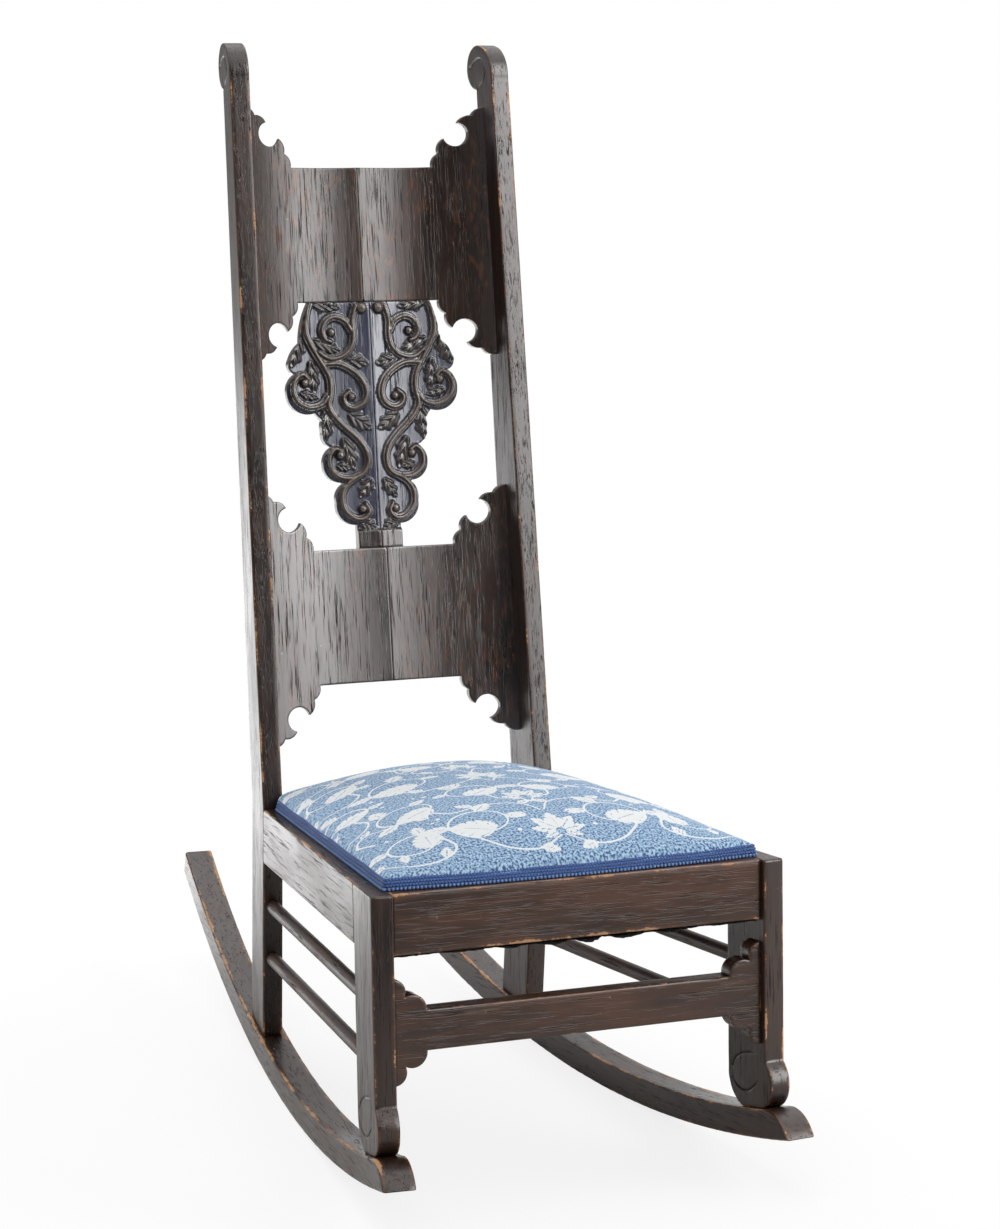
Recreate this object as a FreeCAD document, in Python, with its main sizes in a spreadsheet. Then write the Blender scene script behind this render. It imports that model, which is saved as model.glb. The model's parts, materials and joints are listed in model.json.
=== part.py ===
"""A bow-runner rocking chair: plank legs and scrolled posts on curved rockers, a carved splat
between two shaped back panels, and a crowned, stuffed-over seat trimmed with braid.

The chair is drawn level, with the top of the seat frame at height 0, the front corners of the
frame at Y 0, the sitter facing -Y and the sitter's left on +X. The two side frames are flat and
toe in towards the back, so each is drawn in its own plane: along the side from the front corner,
and up. At the end the whole chair leans back to where it comes to rest on its rockers.
"""
import FreeCAD, Part
import Sketcher
import math
import os

Vector = FreeCAD.Vector
Rotation = FreeCAD.Rotation
Placement = FreeCAD.Placement

doc = FreeCAD.newDocument("rocking_chair")

SIZES = {
    # Boards and side frames
    "board": 22.0,
    "front_width": 432.0,
    "toe_in_angle": 5.3,
    "seat_depth": 490.0,
    "rail_height": 60.0,
    "rail_recess": 4.0,
    # Rockers: the arc's centre lies rocker_centre behind the front corner
    "rocker_radius": 1594.0,
    "rocker_centre": 284.0,
    "rocker_drop": 307.0,
    "rocker_thickness": 29.0,
    "rocker_width": 33.0,
    "nose_reach": 48.0,
    "nose_radius": 40.0,
    "nose_start": 1.0,
    "rear_reach": 960.0,
    # Front legs, with a scrolled foot
    "leg_depth": 72.0,
    "foot_top": 205.0,
    "toe_radius": 28.0,
    "toe_set": 6.0,
    "heel_set": 44.0,
    "heel_radius": 34.0,
    "heel_height": 224.0,
    # Rear posts, with a scroll that curls backwards
    "post_depth": 60.0,
    "post_top_depth": 39.0,
    "post_lean_angle": 6.03,
    "post_kick": 32.0,
    "scroll_height": 807.0,
    "scroll_radius": 25.0,
    "scroll_set": 35.5,
    "scroll_brow": 36.0,
    "scroll_throat": 12.5,
    "scroll_crown": 8.3,
    # Front stretcher with lobed ends
    "stretcher_middle": 135.0,
    "stretcher_bar": 20.0,
    "stretcher_end": 52.0,
    "stretcher_cusp": 34.0,
    "stretcher_step": 2.0,
    "lobe_near": 12.0,
    "lobe_far": 22.0,
    "lobe_near_radius": 13.0,
    "lobe_far_radius": 15.0,
    "stretcher_recess": 5.0,
    # Spindles
    "spindle_radius": 7.5,
    "spindle_upper": 111.0,
    "spindle_lower": 171.0,
    "spindle_seat": 14.0,
    # Back panels, each two hollowed boards that meet in a ridge
    "panel_set_share": 0.51,
    "panel_thickness": 9.0,
    "panel_body": 84.0,
    "panel_height": 150.0,
    "panel_groove": 6.0,
    "ear_height": 64.5,
    "crest_drop": 180.0,
    "crest_bow": 30.0,
    "crest_hollow": 199.0,
    "crest_joint": -6.0,
    "lower_middle": 201.0,
    "lower_bow": 18.0,
    "lower_hollow": 400.0,
    "lower_joint": 3.0,
    # Carved splat, in two halves
    "splat_front": 22.0,
    "splat_thickness": 16.0,
    "splat_hollow": 400.0,
    "splat_reach": 106.0,
    "stem_width": 26.0,
    # Seat
    "seat_wall": 14.0,
    "seat_crown": 45.0,
    "front_margin": 9.0,
    "front_bow": 11.0,
    "side_margin": 19.0,
    "side_margin_rear": 13.3,
    "dome_margin": 11.4,
    "seat_overhang": 18.0,
    "post_gap": 4.0,
    "braid_height": 12.0,
    "braid_thickness": 2.5,
    "soft_gap": 0.3,
    "webbing_width": 50.0,
    "webbing_pitch": 70.0,
    "webbing_thickness": 1.5,
    "cover_thickness": 0.8,
    "cover_margin": 8.0,
    "block_leg": 45.0,
    "block_height": 40.0,
    # Pins and screws
    "dowel_radius": 4.0,
    "dowel_depth": 20.0,
    "dowel_in_side": 14.0,
    "dowel_spread": 18.0,
    "dowel_pair": 6.0,
    "drill_clearance": 0.1,
    "screw_radius": 2.5,
    "screw_head": 5.0,
    "screw_head_height": 3.0,
    "screw_length": 55.0,
    "screw_sink": 3.0,
    "screw_bore": 9.0,
}

# Weights for finding the resting lean, in grams per cubic millimetre
OAK = 0.00060
STUFFING = 0.00030
STEEL = 0.00785

sheet = doc.addObject("Spreadsheet::Sheet", "Sizes")
for row, (alias, number) in enumerate(SIZES.items(), start=1):
    sheet.set("A%d" % row, alias)
    sheet.set("B%d" % row, str(number))
    sheet.setAlias("B%d" % row, alias)
doc.recompute()


class Size:
    """A number together with the spreadsheet expression that gives it."""

    def __init__(self, value, text):
        self.value = float(value)
        self.text = text

    def joined(self, other, mark, value):
        other_text = other.text if isinstance(other, Size) else repr(float(other))
        return Size(value, "(%s %s %s)" % (self.text, mark, other_text))

    def __float__(self):
        return self.value

    def __add__(self, other):
        return self.joined(other, "+", self.value + float(other))

    def __sub__(self, other):
        return self.joined(other, "-", self.value - float(other))

    def __mul__(self, other):
        return self.joined(other, "*", self.value * float(other))

    def __truediv__(self, other):
        return self.joined(other, "/", self.value / float(other))

    def __radd__(self, other):
        return size_of(other) + self

    def __rsub__(self, other):
        return size_of(other) - self

    def __rmul__(self, other):
        return size_of(other) * self

    def __neg__(self):
        return Size(-self.value, "(-%s)" % self.text)


def size_of(number):
    """The number as a Size."""
    return number if isinstance(number, Size) else Size(number, repr(float(number)))


def named(alias):
    """The size in the spreadsheet cell of this alias."""
    return Size(sheet.get(alias), "Sizes." + alias)


def square_root(size):
    return Size(math.sqrt(float(size)), "sqrt(%s)" % size.text)


def tangent(size):
    return Size(math.tan(math.radians(float(size))), "tan(%s)" % size.text)


def cosine(size):
    return Size(math.cos(math.radians(float(size))), "cos(%s)" % size.text)


def sine(size):
    return Size(math.sin(math.radians(float(size))), "sin(%s)" % size.text)


board = named("board")
toe_in = named("toe_in_angle")
seat_depth = named("seat_depth")
leg_depth = named("leg_depth")
rail_height = named("rail_height")
rail_recess = named("rail_recess")
post_depth = named("post_depth")
drill_clearance = named("drill_clearance")
SIDES = {"left": 1, "right": -1}
STRAPS = 4
# Dowels and screw shanks have eight flats, and so have their holes
FLATS = 8


def draw(body, plane_role, loops, name):
    """A sketch of closed loops on one of the body's own origin planes.

    A loop is a list of corners (x, y, bend). The bend is None for a straight edge to the next
    corner, or the radius of the arc that leads there, positive where the arc turns left. Every
    corner and every radius is bound to the sizes.
    """
    sketch = body.newObject("Sketcher::SketchObject", name)
    planes = [feature for feature in body.Origin.OriginFeatures if feature.Role == plane_role]
    sketch.AttachmentSupport = [(planes[0], "")]
    sketch.MapMode = "FlatFace"
    for loop in loops:
        draw_loop(sketch, [(size_of(x), size_of(y), bend) for x, y, bend in loop])
    return sketch


def draw_loop(sketch, corners):
    """One closed loop of a sketch, as lines and arcs that share their ends."""
    first = sketch.GeometryCount
    count = len(corners)
    ends = []
    for index, (x, y, bend) in enumerate(corners):
        next_x, next_y, _ = corners[(index + 1) % count]
        start = Vector(float(x), float(y), 0)
        end = Vector(float(next_x), float(next_y), 0)
        if bend is None:
            sketch.addGeometry(Part.LineSegment(start, end))
            ends.append((1, 2))
            continue
        radius = abs(float(bend))
        turn = 1 if float(bend) > 0 else -1
        chord = end - start
        to_left = Vector(-chord.y, chord.x, 0).normalize()
        rise = math.sqrt(radius ** 2 - (chord.Length / 2) ** 2)
        centre = (start + end) * 0.5 + to_left * (turn * rise)
        angles = [math.atan2(point.y - centre.y, point.x - centre.x) for point in (start, end)]
        circle = Part.Circle(centre, Vector(0, 0, 1), radius)
        sketch.addGeometry(Part.ArcOfCircle(circle, *angles[::turn]))
        ends.append((1, 2)[::turn])
    for index in range(count):
        after = (index + 1) % count
        sketch.addConstraint(Sketcher.Constraint(
            "Coincident", first + index, ends[index][1], first + after, ends[after][0]))
    for index, (x, y, bend) in enumerate(corners):
        bind(sketch, x, "DistanceX", first + index, ends[index][0])
        bind(sketch, y, "DistanceY", first + index, ends[index][0])
        if bend is not None:
            size = size_of(bend)
            bind(sketch, size if float(size) > 0 else -size, "Radius", first + index)


def bind(sketch, size, kind, *where):
    """One constraint of a sketch, bound to its size."""
    number = sketch.addConstraint(Sketcher.Constraint(kind, *where, float(size)))
    sketch.setExpression("Constraints[%d]" % number, size.text)


def pad(body, sketch, length, reverse=False, both_ways=False):
    """The sketch carried through a length."""
    feature = body.newObject("PartDesign::Pad", body.Name + "_pad")
    feature.Profile = sketch
    feature.setExpression("Length", size_of(length).text)
    feature.Reversed = reverse
    feature.Midplane = both_ways
    sketch.Visibility = False
    return feature


def new_body(name, placement=None):
    body = doc.addObject("PartDesign::Body", name)
    if placement is not None:
        body.Placement = placement
    return body


def shift(sketch, distance):
    """The sketch moved along the normal of its plane."""
    sketch.setExpression("AttachmentOffset.Base.z", size_of(distance).text)


def side_frame(side):
    """The plane of a side frame: its local Y runs back along the side, its outer face at X 0."""
    turned = Rotation(Vector(0, 0, 1), side * float(toe_in))
    return Placement(Vector(side * float(named("front_width")) / 2, 0, 0), turned)


def side_piece(name, side, corners, inset=0.0, thickness=board):
    """A piece of a side frame: an outline in its plane, carried inwards from the outer face."""
    body = new_body(name, side_frame(side))
    sketch = draw(body, "YZ_Plane", [corners], name + "_outline")
    shift(sketch, -side * size_of(inset))
    pad(body, sketch, thickness, reverse=side > 0)
    return body


def inner_face(y):
    """Half the clear width between the two side frames at this distance from the front."""
    return named("front_width") / 2 - board / cosine(toe_in) - y * tangent(toe_in)


def bar(name, radius, length, start, direction, flats=0):
    """A round bar, or one with flats, from its start along a direction."""
    if flats:
        bar = doc.addObject("Part::Prism", name)
        bar.Polygon = flats
        bar.setExpression("Circumradius", size_of(radius).text)
    else:
        bar = doc.addObject("Part::Cylinder", name)
        bar.setExpression("Radius", size_of(radius).text)
    bar.setExpression("Height", size_of(length).text)
    bar.Placement = Placement(start, Rotation(Vector(0, 0, 1), direction))
    return bar


def group(name, pieces, kind="Part::Compound"):
    """Several pieces as one object, side by side or fused."""
    whole = doc.addObject(kind, name)
    if kind == "Part::Compound":
        whole.Links = pieces
    else:
        whole.Shapes = pieces
    return whole


def cut(name, blank, tool):
    """A blank with its joints cut in it."""
    finished = doc.addObject("Part::Cut", name)
    finished.Base = blank
    finished.Tool = tool
    return finished


def common(name, first, second):
    """What two solids share."""
    shared = doc.addObject("Part::Common", name)
    shared.Base = first
    shared.Tool = second
    return shared


# Rockers

rocker_radius = named("rocker_radius")
rocker_top_radius = rocker_radius - named("rocker_thickness")


def rocker_arc(along, radius):
    """Height of a rocker's arc at a distance along the side."""
    from_centre = along - named("rocker_centre")
    return rocker_radius - named("rocker_drop") - square_root(radius * radius - from_centre * from_centre)


def rocker(name, side):
    nose = -named("nose_reach")
    rear = named("rear_reach")
    start = named("nose_start")
    rear_low = rocker_arc(rear, rocker_radius)
    centre_height = rocker_radius - named("rocker_drop")
    inwards = rocker_top_radius / rocker_radius
    corners = [
        (start, rocker_arc(start, rocker_top_radius), rocker_top_radius),
        (named("rocker_centre") + (rear - named("rocker_centre")) * inwards,
         centre_height + (rear_low - centre_height) * inwards, None),
        (rear, rear_low, -rocker_radius),
        (nose, rocker_arc(nose, rocker_radius), -named("nose_radius")),
    ]
    width = named("rocker_width")
    return side_piece(name, side, corners, inset=(board - width) / 2, thickness=width)


# Front legs

def front_leg(name, side):
    toe = named("toe_set")
    heel = named("heel_set")
    corners = [
        (0.0, 0.0, None),
        (leg_depth, 0.0, None),
        (leg_depth, -named("heel_height"), -named("heel_radius")),
        (heel, rocker_arc(heel, rocker_top_radius), -rocker_top_radius),
        (toe, rocker_arc(toe, rocker_top_radius), -named("toe_radius")),
        (0.0, -named("foot_top"), None),
    ]
    return side_piece(name, side, corners)


# Rear posts

lean = tangent(named("post_lean_angle"))
scroll_height = named("scroll_height")
scroll_radius = named("scroll_radius")
post_foot = seat_depth + named("post_kick")
post_foot_height = rocker_arc(post_foot, rocker_top_radius)


def post_front(height):
    """Where the front of a rear post lies, above the seat."""
    return seat_depth + lean * height


def post_size(height):
    """How deep a rear post is, above the seat."""
    return post_depth - (post_depth - named("post_top_depth")) * height / scroll_height


def post_front_below(drop):
    """Where the front of a rear post lies, below the seat."""
    return seat_depth - named("post_kick") * drop / post_foot_height


def rear_post(name, side):
    brow_height = scroll_height - named("scroll_throat")
    crown_along = post_front(scroll_height) + named("scroll_set")
    crown = named("scroll_crown")
    crown_rise = square_root(scroll_radius * scroll_radius - crown * crown)
    notch_height = scroll_height - scroll_radius
    heel = post_foot + post_depth
    corners = [
        (seat_depth, 0.0, None),
        (post_front(brow_height), brow_height, -named("scroll_brow")),
        (crown_along - crown, scroll_height + crown_rise, -scroll_radius),
        (crown_along + scroll_radius, scroll_height, -scroll_radius),
        (post_front(notch_height) + post_size(notch_height), notch_height, None),
        (seat_depth + post_depth, 0.0, None),
        (heel, rocker_arc(heel, rocker_top_radius), -rocker_top_radius),
        (post_foot, post_foot_height, None),
    ]
    return side_piece(name, side, corners)


# Rails

rear_rail_front = seat_depth * cosine(toe_in) + rail_recess


def side_rail(name, side):
    corners = [
        (leg_depth, 0.0, None),
        (seat_depth, 0.0, None),
        (post_front_below(rail_height), -rail_height, None),
        (leg_depth, -rail_height, None),
    ]
    return side_piece(name, side, corners)


def cross_rail(name, front):
    """A rail between the side frames, with its ends cut to their toe-in."""
    back = front + board
    corners = [
        (-inner_face(front), front, None),
        (inner_face(front), front, None),
        (inner_face(back), back, None),
        (-inner_face(back), back, None),
    ]
    body = new_body(name)
    pad(body, draw(body, "XY_Plane", [corners], name + "_outline"), rail_height, reverse=True)
    return body


# Front stretcher

def stretcher_end(half, end):
    """The corners of one lobed end above or below the bar, from the end inwards."""
    middle = -named("stretcher_middle")
    near = end - named("lobe_near")
    far = near - named("lobe_far")
    return [
        (end, middle + half * named("stretcher_end"), named("lobe_near_radius")),
        (near, middle + half * named("stretcher_cusp"), named("lobe_far_radius")),
        (far, middle + half * (named("stretcher_bar") + named("stretcher_step")), None),
        (far, middle + half * named("stretcher_bar"), None),
    ]


def stretcher(name, legs):
    front = named("stretcher_recess")
    end = inner_face(front)
    top = stretcher_end(1, end)
    under = stretcher_end(-1, end)
    # From the lower left end round to the right, and back along the top
    left_top = [(-x, z, bend) for x, z, bend in reversed(top)]
    right_under = list(reversed(under))
    left_under = [(-x, z, bend) for x, z, bend in under]
    corners = (carry_bends(left_under, 0) + carry_bends(right_under, 1)
               + carry_bends(top, 0) + carry_bends(left_top, 1))
    body = new_body(name + "_blank")
    sketch = draw(body, "XZ_Plane", [corners], name + "_outline")
    shift(sketch, -front)
    pad(body, sketch, board, reverse=True)
    return cut(name + "_fitted", body, group(name + "_legs", legs))


def carry_bends(corners, later):
    """Corners with each bend moved to the corner where its arc starts, on a list run backwards."""
    bends = [bend for _, _, bend in corners]
    if later:
        bends = bends[1:] + [None]
    return [(x, z, bend) for (x, z, _), bend in zip(corners, bends)]


# Back panels and splat, in the plane of the back

crest_middle = scroll_height - named("crest_drop")
back_slope = lean - named("panel_set_share") * (post_depth - named("post_top_depth")) / scroll_height
back_start = (seat_depth + post_depth * named("panel_set_share")) * cosine(toe_in) - board * sine(toe_in)
BACK = Placement(Vector(0, float(back_start), 0),
                 Rotation(Vector(1, 0, 0), -math.degrees(math.atan(float(back_slope)))))


def spread(shape, across, up, width, height):
    """Corners of an outline that is drawn in shares of a width and a height.

    The third number of each is the radius of the arc to the next corner, as a share of its chord.
    """
    corners = []
    for (x, y, swing), (next_x, next_y, _) in zip(shape, shape[1:] + shape[-1:]):
        bend = None
        if swing is not None:
            run = width * (next_x - x)
            rise = height * (next_y - y)
            bend = square_root(run * run + rise * rise) * swing
        corners.append((across + width * x, up + height * y, bend))
    return corners


# One cusped ear of a panel, from the post towards the panel's own edge
EAR = [
    (1.0, 1.0, 0.85),
    (0.77, 0.87, 0.81),
    (0.515, 0.755, -0.58),
    (0.637, 0.42, -0.57),
    (0.24, 0.49, 0.82),
    (0.13, 0.235, 0.78),
    (0.0, 0.0, None),
]


def ear(half, post_edge, middle):
    """The corners of the ear at the top or the bottom of a panel."""
    body = named("panel_body")
    edge = middle + named("panel_height") / 2 * half
    return spread(EAR, body, edge, post_edge - body, named("ear_height") * half)


# A sawn outline is carried this many times the depth of the curved board that it cuts
THROUGH = 4


def turned(corners, side):
    """Corners mirrored to the other side, with their arcs."""
    return [(side * size_of(x), y, None if bend is None else side * size_of(bend))
            for x, y, bend in corners]


def panel(name, side, middle, bow, hollow, joint):
    """Half of a back panel, from the joint near the middle into the groove of the post."""
    centre_depth = back_start + back_slope * middle
    post_edge = inner_face(centre_depth)
    outer = post_edge + named("panel_groove")
    thickness = named("panel_thickness")
    inner = side * joint
    reach = named("panel_height") / 2 + named("ear_height")
    band = new_body(name + "_band", BACK)
    section = [
        (inner, bow, -hollow),
        (outer, 0.0, None),
        (outer, thickness, hollow),
        (inner, bow + thickness, None),
    ]
    sketch = draw(band, "XY_Plane", [turned(section, side)], name + "_section")
    shift(sketch, middle - reach)
    pad(band, sketch, reach * 2)
    below = list(reversed(ear(-1, post_edge, middle)))
    corners = [(inner, middle - named("panel_height") / 2, None)]
    corners += carry_bends(below, 1)
    corners += [
        (outer, middle - reach, None),
        (outer, middle + reach, None),
    ]
    corners += ear(1, post_edge, middle)
    corners += [(inner, middle + named("panel_height") / 2, None)]
    sawn = new_body(name + "_sawn", BACK)
    outline = draw(sawn, "XZ_Plane", [turned(corners, side)], name + "_outline")
    pad(sawn, outline, (bow + thickness) * THROUGH, both_ways=True)
    return common(name, band, sawn)


# The splat's edge from the foot up: share of its reach, share of its height
SPLAT_EDGE = [
    (0.245, 0.096, 0.664),
    (0.46, 0.185, 0.845),
    (0.375, 0.265, None),
    (0.40, 0.270, 0.706),
    (0.585, 0.345, 0.914),
    (0.485, 0.415, 0.755),
    (0.585, 0.475, 2.0),
    (0.580, 0.523, None),
    (0.65, 0.555, 0.61),
    (0.955, 0.640, 0.947),
    (0.85, 0.715, 0.598),
    (0.91, 0.775, 1.663),
    (0.785, 0.840, 2.2),
    (0.67, 1.0, None),
]


def splat(name, side):
    """Half of the carved splat: volutes and leaves down its edge, and a plain stem."""
    foot = named("lower_middle") + named("panel_height") / 2
    head = crest_middle - named("panel_height") / 2
    front = named("splat_front")
    thickness = named("splat_thickness")
    hollow = named("splat_hollow")
    reach = named("splat_reach")
    length = head - foot
    stem = named("stem_width")
    band = new_body(name + "_band", BACK)
    section = [
        (0.0, front, -hollow),
        (reach, front, None),
        (reach, front + thickness, hollow),
        (0.0, front + thickness, None),
    ]
    sketch = draw(band, "XY_Plane", [turned(section, side)], name + "_section")
    shift(sketch, foot)
    pad(band, sketch, length)
    corners = [(0.0, foot, None), (stem, foot, None)]
    corners += spread(SPLAT_EDGE, 0.0, foot, reach, length)
    corners += [(0.0, head, None)]
    sawn = new_body(name + "_sawn", BACK)
    outline = draw(sawn, "XZ_Plane", [turned(corners, side)], name + "_outline")
    pad(sawn, outline, (front + thickness) * THROUGH, both_ways=True)
    return common(name, band, sawn)


# Seat

post_face = seat_depth * cosine(toe_in)
seat_rear = seat_depth + named("seat_overhang")


def seat_edge(outset):
    """The plan of the stuffed seat, with its rear corners cut round the posts."""
    front_corner = named("front_margin") + named("front_bow")
    half_front = named("front_width") / 2 - front_corner * tangent(toe_in) - named("side_margin") + outset
    half_back = named("front_width") / 2 - post_face * tangent(toe_in) - named("side_margin_rear") + outset
    notch = post_face - named("post_gap") + outset
    rear = seat_rear + outset
    between = inner_face(rear) - named("post_gap") + outset
    bow = named("front_bow")
    half_chord = named("front_width") / 2 - named("side_margin")
    bow_radius = (half_chord * half_chord + bow * bow) / (bow * 2)
    right = [(half_front, front_corner - outset, None), (half_back, notch, None),
             (between, notch, None), (between, rear, None)]
    left = [(-x, y, None) for x, y, _ in reversed(right)]
    left[-1] = (left[-1][0], left[-1][1], bow_radius)
    return right + left


# How high the seat's dome stands, from front to back: share of the depth, share of the crown
DOME_RISES = ((0.0, 0.06), (0.22, 0.72), (0.5, 1.0), (0.78, 0.72), (1.0, 0.06))


def cushion(name):
    """The crowned seat: arched sections from front to back, trimmed to the plan of the seat."""
    low = named("webbing_thickness") + named("soft_gap") * 2
    wall = named("seat_wall")
    crown = named("seat_crown")
    rear = seat_rear
    dome = new_body(name + "_dome")
    sections = []
    for share, rise in DOME_RISES:
        y = rear * share
        half = named("front_width") / 2 - y * tangent(toe_in) - named("dome_margin")
        arch = crown * rise
        radius = (half * half + arch * arch) / (arch * 2)
        corners = [(-half, low, None), (half, low, None), (half, wall, radius), (-half, wall, None)]
        sketch = draw(dome, "XZ_Plane", [corners], "%s_section_%d" % (name, len(sections)))
        shift(sketch, -y)
        sections.append(sketch)
    loft = dome.newObject("PartDesign::AdditiveLoft", name + "_loft")
    loft.Profile = sections[0]
    loft.Sections = sections[1:]
    plan = new_body(name + "_plan")
    pad(plan, draw(plan, "XY_Plane", [seat_edge(0.0)], name + "_edge"), crown * 2)
    return common(name, dome, plan)


def braid(name):
    """The woven trimming that stands round the foot of the seat."""
    gap = named("soft_gap")
    body = new_body(name)
    loops = [seat_edge(gap + named("braid_thickness")), seat_edge(gap)]
    sketch = draw(body, "XY_Plane", loops, name + "_edge")
    shift(sketch, gap)
    pad(body, sketch, named("braid_height"))
    return body


def box(name, length, width, height, x, y, z):
    """A box by its lowest corner, every size bound."""
    block = doc.addObject("Part::Box", name)
    for field, size in (("Length", length), ("Width", width), ("Height", height),
                        ("Placement.Base.x", x), ("Placement.Base.y", y), ("Placement.Base.z", z)):
        block.setExpression(field, size_of(size).text)
    return block


def webbing(name):
    """Straps under the stuffing, tacked to the tops of the rails, as one woven layer."""
    width = named("webbing_width")
    thickness = named("webbing_thickness")
    height = named("soft_gap")
    front = rail_recess + board / 2
    rear = rear_rail_front + board / 2
    straps = []
    for step in range(STRAPS):
        x = named("webbing_pitch") * (step - (STRAPS - 1) / 2) - width / 2
        straps.append(box("%s_long_%d" % (name, step), width, rear - front, thickness, x, front, height))
    for step in range(STRAPS):
        y = front + (rear - front) * ((step + 1) / (STRAPS + 1))
        half = inner_face(y + width / 2) + board / 4
        straps.append(box("%s_cross_%d" % (name, step), half * 2, width, thickness,
                          -half, y - width / 2, height))
    return group(name, straps, "Part::MultiFuse")


def dust_cover(name):
    """The thin cloth under the rails, cut round the legs and posts."""
    margin = named("cover_margin")
    front = rail_recess + margin
    behind_leg = leg_depth * cosine(toe_in) + margin
    before_post = post_face - margin
    rear = rear_rail_front + board - margin
    right = [
        (inner_face(front) - margin, front, None),
        (inner_face(behind_leg) - margin, behind_leg, None),
        (inner_face(behind_leg) + margin, behind_leg, None),
        (inner_face(before_post) + margin, before_post, None),
        (inner_face(before_post) - margin, before_post, None),
        (inner_face(rear) - margin, rear, None),
    ]
    corners = right + [(-x, y, bend) for x, y, bend in reversed(right)]
    body = new_body(name)
    sketch = draw(body, "XY_Plane", [corners], name + "_edge")
    shift(sketch, -rail_height - named("soft_gap"))
    pad(body, sketch, named("cover_thickness"), reverse=True)
    return body


def corner_blocks(name):
    """Four glued blocks that brace the corners of the seat frame from inside."""
    leg = named("block_leg")
    height = named("block_height")
    blocks = []
    for row, (corner, inwards) in enumerate(((rail_recess + board, 1), (rear_rail_front, -1))):
        along = corner + inwards * leg
        for side_name, side in SIDES.items():
            corners = [
                (inner_face(corner), corner, None),
                (inner_face(along), along, None),
                (inner_face(corner) - leg, corner, None),
            ]
            body = new_body("%s_%d_%s" % (name, row, side_name))
            sketch = draw(body, "XY_Plane", [turned(corners, side)], body.Name + "_outline")
            shift(sketch, -(rail_height - height) / 2)
            pad(body, sketch, height, reverse=True)
            blocks.append(body)
    return group(name, blocks)


# Dowels, spindles and screws

drills = []


def side_point(side, along, height, depth):
    """A point of a side frame, depth inwards from its outer face."""
    return side_frame(side).multVec(Vector(-side * float(depth), float(along), float(height)))


def pin(name, radius, length, start, direction, flats=0):
    """A pin, with its hole to be cut from the pieces that it joins."""
    drills.append(bar(name + "_hole", radius + drill_clearance, length, start, direction, flats))
    return bar(name, radius, length, start, direction, flats)


def side_dowels(side_name, side):
    """Pairs that join the side rail to the leg and to the post."""
    pins = []
    backwards = side_frame(side).Rotation.multVec(Vector(0, 1, 0))
    middle = -rail_height / 2
    for joint, along in (("leg", leg_depth), ("post", seat_depth)):
        for up in (-1, 1):
            start = side_point(side, along - named("dowel_depth"), middle + named("dowel_spread") * up, board / 2)
            name = "dowel_%s_%s_%s" % (side_name, joint, "upper" if up > 0 else "lower")
            pins.append(pin(name, named("dowel_radius"), named("dowel_depth") * 2, start, backwards, FLATS))
    return pins


def cross_dowels(joint, front, middle, spread, side_name, side):
    """A pair that joins a rail or the stretcher to one side frame."""
    pins = []
    y = front + board / 2
    inner = inner_face(y) - named("dowel_depth")
    length = named("dowel_depth") + named("dowel_in_side")
    for up in (-1, 1):
        start = Vector(side * float(inner), float(y), float(middle + spread * up))
        name = "dowel_%s_%s_%s" % (side_name, joint, "upper" if up > 0 else "lower")
        pins.append(pin(name, named("dowel_radius"), length, start, Vector(side, 0, 0), FLATS))
    return pins


def spindle(name, side, drop):
    """A round spindle let into the back of the leg and the front of the post."""
    seat = named("spindle_seat")
    start_along = leg_depth - seat
    length = post_front_below(drop) + seat - start_along
    backwards = side_frame(side).Rotation.multVec(Vector(0, 1, 0))
    start = side_point(side, start_along, -drop, board / 2)
    return pin(name, named("spindle_radius"), length, start, backwards)


def screw(name, side, along):
    """A wood screw up through the rocker into a foot, its head sunk in the rocker."""
    low = rocker_arc(along, rocker_radius)
    head = named("screw_head")
    start = side_point(side, along, low + named("screw_sink"), board / 2)
    up = Vector(0, 0, 1)
    shank = pin(name + "_shank", named("screw_radius"), named("screw_length"), start, up, FLATS)
    cap = bar(name + "_cap", head, named("screw_head_height"), start, up)
    below = named("screw_bore")
    bore_start = side_point(side, along, low + named("screw_sink") - below, board / 2)
    drills.append(bar(name + "_bore", head + drill_clearance,
                      below + named("screw_head_height") + drill_clearance, bore_start, up))
    return group(name, [shank, cap], "Part::MultiFuse")


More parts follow.
